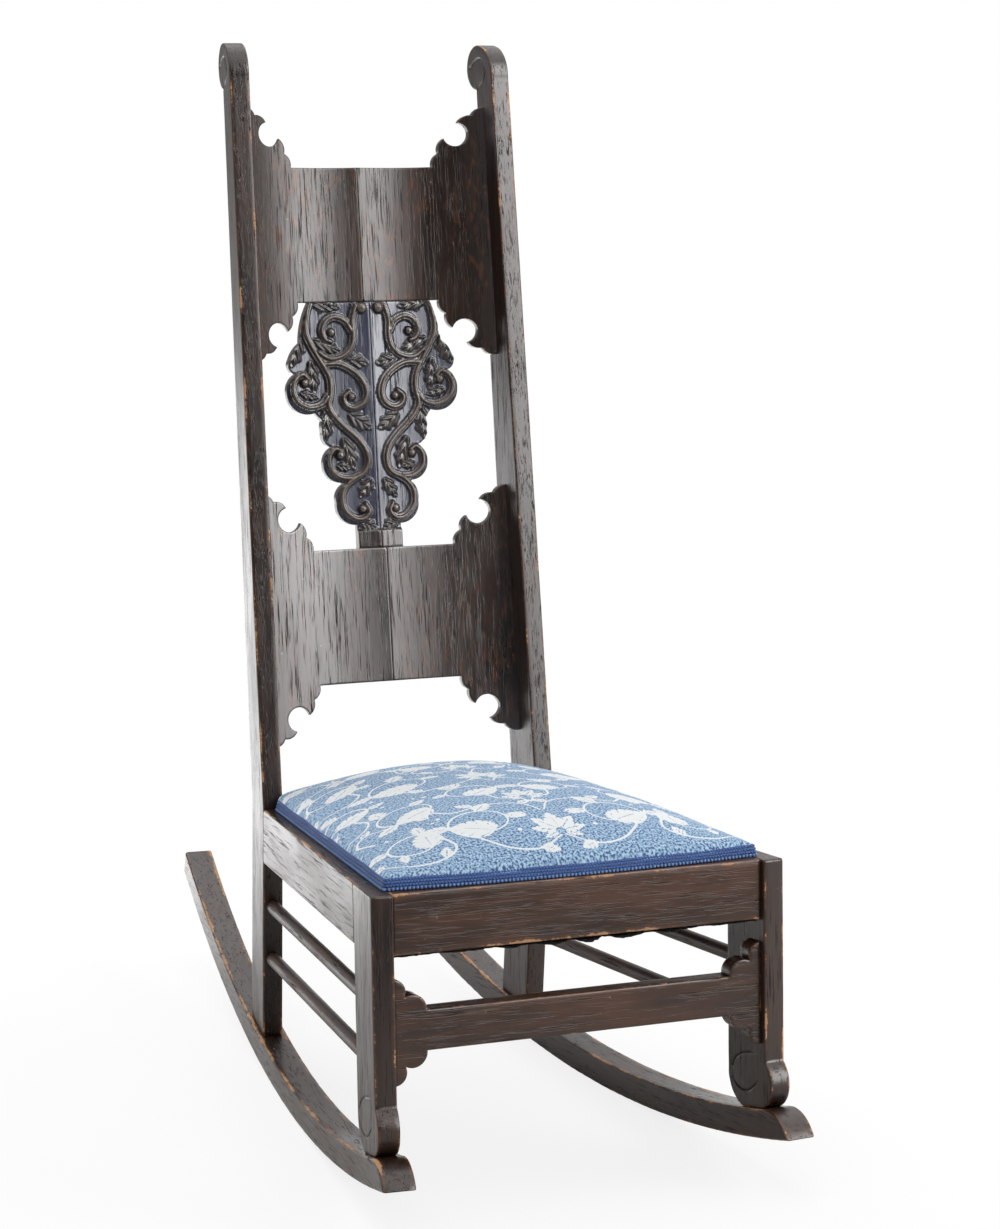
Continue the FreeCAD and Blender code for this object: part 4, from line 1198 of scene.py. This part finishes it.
def carving(out, height):
    """How far the carving stands above its ground, at points of one half of the splat.

    A scroll is a half-round roll that thins to its curl, with a fine fillet on its crest between two
    quirks. An eye is a ball, and a leaf is a pointed swelling with three fluted lobes on each side.
    """
    points = np.column_stack([out, height])
    leaf = np.zeros(len(points))
    for (root_x, root_y), (tip_x, tip_y), half in LEAVES:
        run = np.array([tip_x - root_x, tip_y - root_y], float)
        length = np.hypot(*run)
        run /= length
        away = points - (root_x, root_y)
        along = away @ run / length
        across = away @ np.array([-run[1], run[0]])
        lobes = 1 + 0.18 * np.cos(along * 3.0 * 2 * math.pi)
        shape = half * np.sin(math.pi * np.clip(along, 0.0, 1.0) ** 0.8) ** 0.7 * lobes
        inner = (along > 0) & (along < 1) & (np.abs(across) < shape)
        swell = np.clip(1 - (across / np.maximum(shape, 0.1)) ** 2, 0.0, 1.0) ** 0.4
        flutes = 0.72 + 0.28 * np.cos((np.abs(across) / half * 1.6 - along * 3.0) * 2 * math.pi)
        vein = 1 - 0.45 * np.exp(-(across / 0.8) ** 2)
        leaf = np.where(inner, np.maximum(leaf, LEAF_HEIGHT * swell * flutes * vein), leaf)
    rolls = np.zeros(len(points))
    for line in SCROLLS:
        dense = curve_through(line, 8)
        gap, where = nearest(points, dense)
        half = ROLL_HALF * (1 - 0.35 * where ** 4)
        roll = ROLL_HEIGHT * np.clip(1 - (gap / half) ** 2, 0.0, 1.0) ** 0.5
        fillet = FILLET_HEIGHT / (1 + (gap / FILLET_HALF) ** 8)
        quirk = 1.3 * np.exp(-((gap - FILLET_HALF * 1.6) / 0.7) ** 2)
        rolls = np.maximum(rolls, np.where(gap < half, roll + fillet - quirk, 0.0))
        leaf *= smooth_step(gap, half - 0.5, half + 1.6)
    for x, y, radius in EYES:
        gap = np.hypot(out - x, height - y)
        rolls = np.maximum(rolls, 1.15 * np.sqrt(np.clip(radius ** 2 - gap ** 2, 0.0, None)))
    return np.maximum(rolls, leaf)


def splat(name, side, finish, seed):
    """Half of the carved splat, its relief cut into a hollow board."""
    foot = LOWER["middle"] + PANEL_HEIGHT / 2
    head = CREST["middle"] - PANEL_HEIGHT / 2
    corners = [(0.0, foot, None), (STEM, foot, None)]
    corners += spread(SPLAT_EDGE, 0.0, foot, SPLAT_REACH, head - foot) + [(0.0, head, None)]
    loop = traced(turned(corners, side), 1.2, 1.0)

    def face(net):
        """The hollow that the tallest relief nearly reaches."""
        return hollow_depth(side * net[:, 0], 0.0, 0.0, SPLAT_REACH, SPLAT_HOLLOW) + SPLAT_FRONT

    def raised(net):
        """The plain stem at the foot stands nearly as high as the rolls."""
        stem = STEM_HEIGHT * np.clip((STEM_TOP - net[:, 1]) / 3.0, 0.0, 1.0)
        return np.maximum(carving(side * net[:, 0], net[:, 1]), stem)

    def front(net):
        """The ground lies below the hollow, and the relief rises from it."""
        return face(net) + GROUND - raised(net)

    def back(net):
        """The plain back of the board."""
        return face(net) + SPLAT_THICKNESS

    def ground(net):
        """1 where the ground is bare of relief."""
        return np.clip(1.2 - raised(net), 0.0, 1.0)

    def crest(net):
        """1 on the highest fillets, where a painted highlight stands for the light they catch."""
        return smooth_step(raised(net), 4.6, 5.9)

    # The crest mask marks where the painted highlight goes
    piece = board(name + "_finished", loop, front, back, back_place, 1, 1.1, 0.95, seed, depth_steps=4,
                  masks={"ground": ground, "crest": crest})
    dressed(piece, finish, "carved_oak", name)


# Seat

SEAT_WALL = 14.0
SEAT_CROWN = 45.0
FRONT_MARGIN = 9.0
FRONT_BOW = 11.0
SIDE_MARGIN = 19.0
SIDE_MARGIN_REAR = 13.3
SEAT_REAR = SEAT_DEPTH + 18.0
POST_GAP = 4.0
SEAT_LOW = 2.1
SEAT_CORNER = FRONT_MARGIN + FRONT_BOW
POST_FACE = SEAT_DEPTH * math.cos(TOE_IN)


def seat_half(y):
    """Half the seat's width: a straight taper towards the posts, then a step in between them."""
    front = FRONT_WIDTH / 2 - SEAT_CORNER * math.tan(TOE_IN) - SIDE_MARGIN
    rear = FRONT_WIDTH / 2 - POST_FACE * math.tan(TOE_IN) - SIDE_MARGIN_REAR
    notch = POST_FACE - POST_GAP
    taper = front + (rear - front) * (y - SEAT_CORNER) / (notch - SEAT_CORNER)
    between = inner_face(SEAT_REAR) - POST_GAP
    return taper + (between - taper) * smooth_step(y, notch - 6.0, notch)


def seat_grid(columns, rows, outset=0.0):
    """Plan of the seat: across from -1 to 1 and back from 0 to 1, with a bowed front edge."""
    across = np.linspace(-1, 1, columns)[None, :]
    back = np.linspace(0, 1, rows)[:, None]
    front_edge = SEAT_CORNER - outset - FRONT_BOW * (1 - across ** 2)
    y = front_edge + (SEAT_REAR + outset - front_edge) * back
    return across * (seat_half(y) + outset), y + 0 * across


CLOTH_MASS = 0.25
CLOTH_STIFFNESS = 12.0
CLOTH_BENDING = 0.6
CLOTH_PRESSURE = 4.0
CLOTH_STEPS = 20
LEAST_GROWTH = 0.004


def grown_crown(columns=45, rows=57):
    """The cushion's swell from 0 to 1: a sheet pinned at its edge and blown up from below.

    The plain swell is a bow across times a bow back, each 1 less a power of the place.
    """
    x, y = seat_grid(columns, rows)
    u, v = np.meshgrid(np.linspace(-1, 1, columns), np.linspace(-1, 1, rows))
    swell = ((1 - np.abs(u) ** 2.3) * (1 - np.abs(v) ** 2.6)) ** 0.7
    quads, rim = grid_net(rows, columns)
    mesh = bpy.data.meshes.new("swell")
    mesh.from_pydata(np.stack([x, y, 6.0 * swell], 2).reshape(-1, 3) / 1000, [], quads.tolist())
    body = bpy.data.objects.new("swell", mesh)
    bpy.context.scene.collection.objects.link(body)
    body.vertex_groups.new(name="held").add(np.unique(rim).tolist(), 1.0, "REPLACE")
    cloth = body.modifiers.new("cloth", "CLOTH").settings
    cloth.quality = 8
    cloth.mass = CLOTH_MASS
    cloth.tension_stiffness = CLOTH_STIFFNESS
    cloth.compression_stiffness = CLOTH_STIFFNESS
    cloth.bending_stiffness = CLOTH_BENDING
    cloth.vertex_group_mass = "held"
    cloth.use_pressure = True
    cloth.uniform_pressure_force = CLOTH_PRESSURE
    cloth.effector_weights.gravity = 0.0
    for step in range(1, CLOTH_STEPS + 1):
        bpy.context.scene.frame_set(step)
    grown = body.evaluated_get(bpy.context.evaluated_depsgraph_get()).to_mesh()
    places = np.empty(columns * rows * 3)
    grown.vertices.foreach_get("co", places)
    height = places.reshape(rows, columns, 3)[:, :, 2]
    bpy.data.objects.remove(body)
    bpy.context.scene.frame_set(1)
    if not np.isfinite(height).all() or height.max() < LEAST_GROWTH:
        return swell
    # Pressure alone leaves the rim too slack, so the stuffing's own fullness is blended in
    return 0.5 * np.clip(height / height.max(), 0.0, 1.0) + 0.5 * swell


def enlarged(values, columns, rows):
    """A coarse grid of values as a finer one, straight between its points."""
    low_rows, low_columns = values.shape
    across = np.linspace(0, low_columns - 1, columns)
    back = np.linspace(0, low_rows - 1, rows)
    left = np.minimum(across.astype(int), low_columns - 2)
    low = np.minimum(back.astype(int), low_rows - 2)
    wide = values[:, left] * (1 - across + left) + values[:, left + 1] * (across - left)
    return wide[low] * (1 - back + low)[:, None] + wide[low + 1] * (back - low)[:, None]


# The print: curling stems that end in a leaf, mirrored about the middle of the seat

def curl(x, y, size, hand, first):
    """A stem that runs nearly once round its middle and closes in to seven tenths of its size."""
    share = np.linspace(0, 1, 70)
    angle = math.radians(first) + hand * share * CURL_SWEEP
    radius = size * (1 - 0.3 * share ** 0.9)
    return np.stack([x + radius * np.cos(angle), y + 0.92 * radius * np.sin(angle)], 1)


CURL_SWEEP = math.radians(325.0)

# Curls of the print as (x, y, size, hand, first angle in degrees)
CURLS = [(70, 88, 36, 1, -70), (146, 74, 30, -1, 190), (118, 170, 35, 1, -120), (42, 196, 30, -1, 250),
         (160, 246, 27, -1, 260), (84, 286, 36, 1, -80), (28, 372, 27, 1, -60),
         (140, 352, 30, -1, 240), (84, 420, 32, 1, -110), (30, 478, 22, -1, 180),
         (142, 462, 24, 1, -90)]
# Plain stems between the curls
STEMS = [
    [(82, 54), (60, 34), (30, 28), (2, 44)],
    [(116, 72), (110, 50), (126, 34), (158, 30), (188, 44)],
    [(100, 140), (84, 124), (48, 132), (16, 124), (2, 100)],
    [(32, 168), (26, 150), (8, 142), (1, 128)],
    [(156, 219), (150, 196), (162, 176), (186, 168)],
    [(90, 251), (76, 236), (40, 238), (12, 252), (1, 236)],
    [(42, 349), (52, 336), (36, 316), (12, 318), (1, 300)],
    [(125, 326), (122, 306), (140, 290), (172, 296)],
    [(73, 390), (60, 378), (62, 352), (58, 334)],
    [(8, 478), (4, 456), (12, 432), (2, 410)],
    [(142, 438), (126, 430), (122, 408), (148, 396), (170, 402)],
    [(170, 120), (180, 142), (168, 160), (150, 150)],
]
# Fans of leaves on the middle line, as (height, size)
FANS = [(52, 34), (148, 26), (262, 34), (330, 24), (420, 28)]
# Loose leaves as (x, y, direction in degrees, length)
SPRIGS = [(30, 30, 200, 20), (110, 128, 60, 22), (16, 124, 150, 18), (186, 44, 60, 18),
          (62, 132, 40, 20), (186, 168, -60, 20), (76, 236, 60, 20), (36, 316, 60, 18),
          (172, 296, 80, 20), (58, 350, 150, 18), (150, 396, -60, 20), (122, 410, 160, 18),
          (40, 238, -70, 18), (126, 34, 110, 20), (170, 160, 140, 16), (100, 330, 20, 18),
          (178, 210, 70, 20), (20, 90, 20, 18), (178, 350, 60, 18), (100, 470, 20, 18)]
DOTS = [(104, 118, 2.6), (112, 112, 2.0), (12, 176, 2.4), (84, 212, 2.8), (94, 218, 2.0),
        (124, 226, 2.4), (40, 60, 2.6), (160, 112, 2.4), (124, 262, 2.6), (52, 318, 2.2),
        (120, 388, 2.4), (60, 458, 2.6)]
# Leaves on a curl: point of its stem, turn in degrees, length as a share of the curl, half width
CURL_LEAVES = ((-1, 0, 1.25, 0.42), (-1, 52, 0.62, 0.34), (14, -62, 0.75, 0.34), (36, -58, 0.8, 0.34),
               (50, -55, 0.6, 0.34))
# Leaves of one half of a fan: direction in degrees, length as a share of the fan
FAN_LEAVES = ((90, 1.0), (52, 0.9), (14, 0.75), (-28, 0.55))
SPRIG_HALF = 0.34
FAN_HALF = 0.26
STEM_HALF = 1.15
LOBES = 4.0


def leaf_print(points, x, y, direction, length, half=0.36):
    """How far points lie inside a leaf, in millimetres.

    The leaf's half width swells and ends in a point. Cuts that slant forwards part it into lobes, each
    cut growing wider outwards, and a midrib is left bare.
    """
    angle = math.radians(direction)
    run = np.array([math.cos(angle), math.sin(angle)])
    away = points - (x, y)
    along = away @ run / length
    across = np.abs(away @ np.array([-run[1], run[0]]))
    inner = np.clip(along, 0.0, 1.0)
    shape = half * length * np.sin(math.pi * inner ** 0.8) ** 0.7
    lobe = (inner - 0.8 * across / length) * LOBES % 1.0
    edge = shape * (0.8 + 0.2 * np.sin(math.pi * lobe)) - across
    share = np.clip(across / np.maximum(shape, 0.1), 0.0, 1.0)
    cut = (0.5 - np.abs(lobe - 0.5)) * 0.78 * length / LOBES - 0.9 * share ** 1.5
    cut = np.where(share > 0.22, cut, 3.0)
    rib = np.where((inner > 0.08) & (inner < 0.7), across - 0.6, 3.0)
    return np.where((along > 0) & (along < 1), np.minimum(np.minimum(edge, cut), rib), -3.0)


def print_field(x, y):
    """The print: over 0 inside a white motif, as the distance in millimetres from its edge."""
    points = np.stack([np.abs(x).ravel(), y.ravel()], 1)
    field = np.full(len(points), -3.0)

    def lay(near, values):
        """Adds one motif: the field keeps the larger value at each point."""
        field[near] = np.maximum(field[near], values)

    lines = [curl(*place) for place in CURLS] + [curve_through(stem, 12) for stem in STEMS]
    for line in lines:
        low, high = line.min(0) - 6, line.max(0) + 6
        near = np.flatnonzero(((points > low) & (points < high)).all(1))
        gap, where = nearest(points[near], line)
        lay(near, STEM_HALF * (1.25 - 0.4 * where) - gap)
    leaves = [sprig + (SPRIG_HALF,) for sprig in SPRIGS]
    for place in CURLS:
        size, hand = place[2:4]
        line = curl(*place)
        for at, turn, share, half in CURL_LEAVES:
            run = line[at] - line[at - 1]
            heading = math.degrees(math.atan2(run[1], run[0]))
            if at == -1:
                heading += hand * 42
            leaves.append((line[at, 0], line[at, 1], heading + hand * turn, size * share, half))
    for fan_y, size in FANS:
        for direction, share in FAN_LEAVES:
            angle = math.radians(direction)
            leaves.append((4 * math.cos(angle), fan_y + 4 * math.sin(angle), direction, size * share,
                           FAN_HALF))
    for leaf in leaves:
        near = np.flatnonzero(np.hypot(points[:, 0] - leaf[0], points[:, 1] - leaf[1]) < leaf[3] + 4)
        lay(near, leaf_print(points[near], *leaf))
    for dot_x, dot_y, radius in DOTS:
        near = np.flatnonzero(np.hypot(points[:, 0] - dot_x, points[:, 1] - dot_y) < radius + 3)
        lay(near, radius - np.hypot(points[near, 0] - dot_x, points[near, 1] - dot_y))
    return field


CUSHION_COLUMNS = 270
CUSHION_ROWS = 340
SEAT_ROLL = 7.0
SEAT_HALF_WIDTH = 185.0
SEAT_HALF_DEPTH = 244.0
SEAT_MIDDLE = (0.0, 250.0)
LUMPS = 14
# The cushion's walls: share of the way down, and how far they draw in there
WALL_RINGS = ((0.35, 0.3), (0.7, 0.9), (1.0, 1.8))


def cushion(finish):
    """A closed cushion: a crowned top on the seat's plan, walls that draw in, and a flat underside.

    Height over the plan is the wall plus the crown times the swell, and near the rim the top rolls
    over in a quarter round.
    """
    x, y = seat_grid(CUSHION_COLUMNS, CUSHION_ROWS)
    swell = enlarged(grown_crown(), CUSHION_COLUMNS, CUSHION_ROWS)
    random = np.random.default_rng(7)
    lumps = np.zeros_like(x)
    for _ in range(LUMPS):
        pitch = random.uniform(0.012, 0.045, 2)
        lumps += random.uniform(0.1, 0.35) * np.sin(x * pitch[0] + y * pitch[1] + random.uniform(0, 6.3))
    u, v = np.meshgrid(np.linspace(-1, 1, CUSHION_COLUMNS), np.linspace(-1, 1, CUSHION_ROWS))
    inner = np.minimum((1 - np.abs(u)) * SEAT_HALF_WIDTH, (1 - np.abs(v)) * SEAT_HALF_DEPTH)
    roll = SEAT_ROLL * (1 - np.sqrt(np.clip(1 - np.clip(1 - inner / SEAT_ROLL, 0, 1) ** 2, 0, 1)))
    z = SEAT_WALL - roll + SEAT_CROWN * swell + lumps * swell ** 0.5
    top = np.stack([x, y, z], 2).reshape(-1, 3)
    quads, rim = grid_net(CUSHION_ROWS, CUSHION_COLUMNS)
    levels = [rim]
    points = [top]
    total = len(top)
    for share, drawn in WALL_RINGS:
        ring = top[rim].copy()
        ring[:, 2] -= share * (top[rim, 2] - SEAT_LOW)
        out = ring[:, :2] - SEAT_MIDDLE
        ring[:, :2] -= out / np.hypot(*out.T)[:, None] * drawn
        points.append(ring)
        levels.append(total + np.arange(len(rim)))
        total += len(rim)
    points = np.concatenate(points + [[SEAT_MIDDLE + (SEAT_LOW,)]])
    last = levels[-1]
    underside = np.stack([np.full(len(last), total), np.roll(last, -1), last], 1)
    faces = quads.tolist() + wall_quads(levels).tolist() + underside.tolist()
    ink = np.full(len(points), -3.0)
    ink[:len(top)] = print_field(x, y)
    cloth = np.column_stack([points[:, :2] / 1000, np.zeros(len(points))])
    piece = upright(new_mesh("seat_cushion_finished", points, faces, {"print": ink, "cloth": cloth}))
    dressed(piece, finish, "seat_fabric", "seat_cushion")


BRAID_COLUMNS = 2420
BRAID_ROWS = 40
BRAID_CORDS = 3
BRAID_WIDTH = 11.8
BRAID_THICKNESS = 1.6
CORD_HEIGHT = 1.6
CORD_LAY = 3.2
PICOT_HEIGHT = 2.2
PICOT_PITCH = 4.0
# Shares of the section that run up the outer face, and of the face's height that the picots take
OUTER_SHARE = 0.82
PICOT_SHARE = 0.27


def seat_path(count):
    """The seat's edge as evenly spaced points with softened corners, and the way out at each."""
    columns, rows = 200, 240
    x, y = seat_grid(columns, rows)
    _, rim = grid_net(rows, columns)
    edge = np.stack([x.ravel()[rim], y.ravel()[rim]], 1)
    closed = np.concatenate([edge, edge[:1]])
    run = np.concatenate([[0], np.cumsum(np.hypot(*np.diff(closed, axis=0).T))])
    at = np.linspace(0, run[-1], count, endpoint=False)
    path = np.stack([np.interp(at, run, closed[:, 0]), np.interp(at, run, closed[:, 1])], 1)
    window = np.hanning(13)
    window /= window.sum()
    wrapped = np.concatenate([path[-6:], path, path[:6]])
    path = np.stack([np.convolve(wrapped[:, axis], window, "valid") for axis in (0, 1)], 1)
    return path, -inwards(path), run[-1]


def braid(finish):
    """A woven braid round the seat: lengthwise cords with slanting lay over a row of picot loops.

    The section runs up the outer face and back down the inner one. The outer face swells by a half
    round for each cord, times a cosine of the place along it for the lay, and below by a half round
    times the size of a cosine for the loops.
    """
    path, out, length = seat_path(BRAID_COLUMNS)
    picots = round(length / PICOT_PITCH)
    lays = round(length / CORD_LAY)
    turn = (np.arange(BRAID_COLUMNS) / BRAID_COLUMNS * 2 * math.pi)[:, None]
    section = np.arange(BRAID_ROWS) / BRAID_ROWS
    up = np.where(section < OUTER_SHARE, section / OUTER_SHARE,
                  1 - (section - OUTER_SHARE) / (1 - OUTER_SHARE))[None]
    outer = (section < OUTER_SHARE)[None]
    low = up < PICOT_SHARE
    cord = (up - PICOT_SHARE) / (1 - PICOT_SHARE) * BRAID_CORDS
    fraction = cord - np.floor(cord)
    half_round = np.sqrt(np.clip(1 - (2 * fraction - 1) ** 2, 0.0, 1.0))
    slant = np.where(np.floor(cord) % 2 == 0, 1.0, -1.0)
    cords = half_round * (0.7 + 0.3 * np.cos(turn * lays + slant * fraction * 3.0))
    loop = np.sqrt(np.clip(1 - (2 * up / PICOT_SHARE - 1) ** 2, 0.0, 1.0))
    beads = loop * np.abs(np.cos(turn * picots / 2)) ** 0.8
    swell = np.where(low, PICOT_HEIGHT * beads, CORD_HEIGHT * cords)
    waver = 0.35 * np.sin(turn * 9 + 1) + 0.25 * np.sin(turn * 23)
    lean = 0.9 - 3.0 * up ** 2 + waver * up
    away = np.where(outer, lean + swell, lean - BRAID_THICKNESS)
    rise = BRAID_WIDTH + 0.4 * np.sin(turn * 14)
    points = np.empty((BRAID_COLUMNS, BRAID_ROWS, 3))
    points[:, :, :2] = path[:, None] + out[:, None] * away[:, :, None]
    points[:, :, 2] = 0.35 + up * rise - 0.25 * PICOT_HEIGHT * beads * (up < 0.14)
    index = np.arange(BRAID_COLUMNS * BRAID_ROWS).reshape(BRAID_COLUMNS, BRAID_ROWS)
    after, beyond = np.roll(index, -1, 0), np.roll(index, -1, 1)
    quads = np.stack([index, after, np.roll(after, -1, 1), beyond], 2).reshape(-1, 4)
    # The crown mask carries the braid's painted shade between cords and painted highlight on their crowns
    crown = np.where(outer, np.where(low, beads, cords), 0.0)
    picot = np.broadcast_to(outer & low, crown.shape)
    attributes = {"crown": crown.ravel(), "picot": picot.astype(float).ravel()}
    piece = upright(new_mesh("seat_braid_finished", points.reshape(-1, 3), quads.tolist(), attributes))
    dressed(piece, finish, "braid", "seat_braid")


COVER_COLUMNS = 150
COVER_ROWS = 190
COVER_TOP = -60.35
COVER_THICKNESS = 0.8
COVER_OVERLAP = 14.0
COVER_BELLY = 9.0
TACK_PITCH = 47.0


def dust_cover(finish):
    """Thin cloth tacked under the rails, with a ragged front edge.

    It drops by a bow over its whole width, by a lip near its edge that a cosine lifts at each tack,
    and by a few soft folds.
    """
    u, v = np.meshgrid(np.linspace(-1, 1, COVER_COLUMNS), np.linspace(0, 1, COVER_ROWS))
    low, high = RAIL_RECESS + 5.0, POST_FACE - 6.0
    random = np.random.default_rng(11)
    rag = random.normal(0, 1, COVER_COLUMNS)
    rag = np.convolve(rag, [0.15, 0.7, 0.15], "same") * 1.5
    y = low + (high - low) * v + rag[None] * (1 - v) ** 12
    half = inner_face(y) - 2.0 + COVER_OVERLAP * smooth_step(y, LEG_DEPTH + 4, LEG_DEPTH + 10)
    x = u * half
    edge = np.minimum(np.minimum((1 - np.abs(u)) * 200, v * 480), (1 - v) * 480)
    run = x + y
    tack = 0.5 - 0.5 * np.cos(2 * math.pi * (run / TACK_PITCH + 0.25 * np.sin(run * 0.021)))
    loose = 0.55 + 0.45 * np.sin(run * 0.017 + 1.0)
    lip = (1.0 + 4.0 * tack * loose) * np.exp(-edge / 6.0)
    belly = COVER_BELLY * (1 - u ** 2) * (1 - (2 * v - 1) ** 2)
    folds = 0.9 * np.sin(x * 0.11 + y * 0.03) * (1 - u ** 2)
    z = COVER_TOP - lip - belly - np.abs(folds)
    top = np.stack([x, y, z], 2).reshape(-1, 3)
    under = top - (0, 0, COVER_THICKNESS)
    quads, rim = grid_net(COVER_ROWS, COVER_COLUMNS)
    walls = wall_quads([rim, rim + len(top)])
    faces = quads.tolist() + (quads[:, ::-1] + len(top)).tolist() + walls.tolist()
    piece = upright(new_mesh("dust_cover_finished", np.concatenate([top, under]), faces))
    dressed(piece, finish, "cambric", "dust_cover")


def inner_nodes():
    """Finishes of the solids that stay as they are: blocks, dowels, screws and webbing."""
    finishes = {
        "corner_blocks": bare_oak(),
        "rocker_screws": dull_steel(),
        "seat_webbing": woven("webbing_jute", *JUTE, 0.004),
    }
    finishes["rail_dowels"] = finishes["corner_blocks"]
    for node, finish in finishes.items():
        body = frame["nodes"][node]
        body.data.materials.clear()
        body.data.materials.append(finish)


def make_all():
    """Every piece of the chair."""
    finish = {
        "rocker": oak("oak_rocker", brown=0.25, rub=0.05),
        "leg": oak("oak_leg", brown=0.18, rub=-0.15),
        "post": oak("oak_post", brown=0.12, rub=-0.22),
        "rail": oak("oak_rail", brown=0.65, rub=-0.12),
        "spindle": oak("oak_spindle", brown=0.4, rub=-0.5, gloss=0.4),
    }
    panels = oak("oak_panel", brown=0.15, rub=-0.75, fleck=0.4, gloss=0.27, shine=1.0)
    crest = oak("oak_crest", brown=0.15, rub=-0.75, fleck=0.4, gloss=0.27, shine=0.55)
    carved = oak("oak_carved", brown=0.1, rub=-0.6, gloss=0.26, shine=0.85, ground=True)
    side_frames(finish)
    cross_rails(finish)
    spindles(finish)
    cushion(printed_cotton())
    braid(silk_braid())
    dust_cover(woven("cambric_black", *CAMBRIC, 0.0011))
    inner_nodes()
    for index, (title, side) in enumerate(SIDES.items()):
        panel("crest_panel_" + title, side, finish=crest, seed=60 + index, **CREST)
        panel("lower_panel_" + title, side, finish=panels, seed=70 + index, **LOWER)
        splat("splat_" + title, side, carved, 80 + index)


camera()
studio()
make_all()
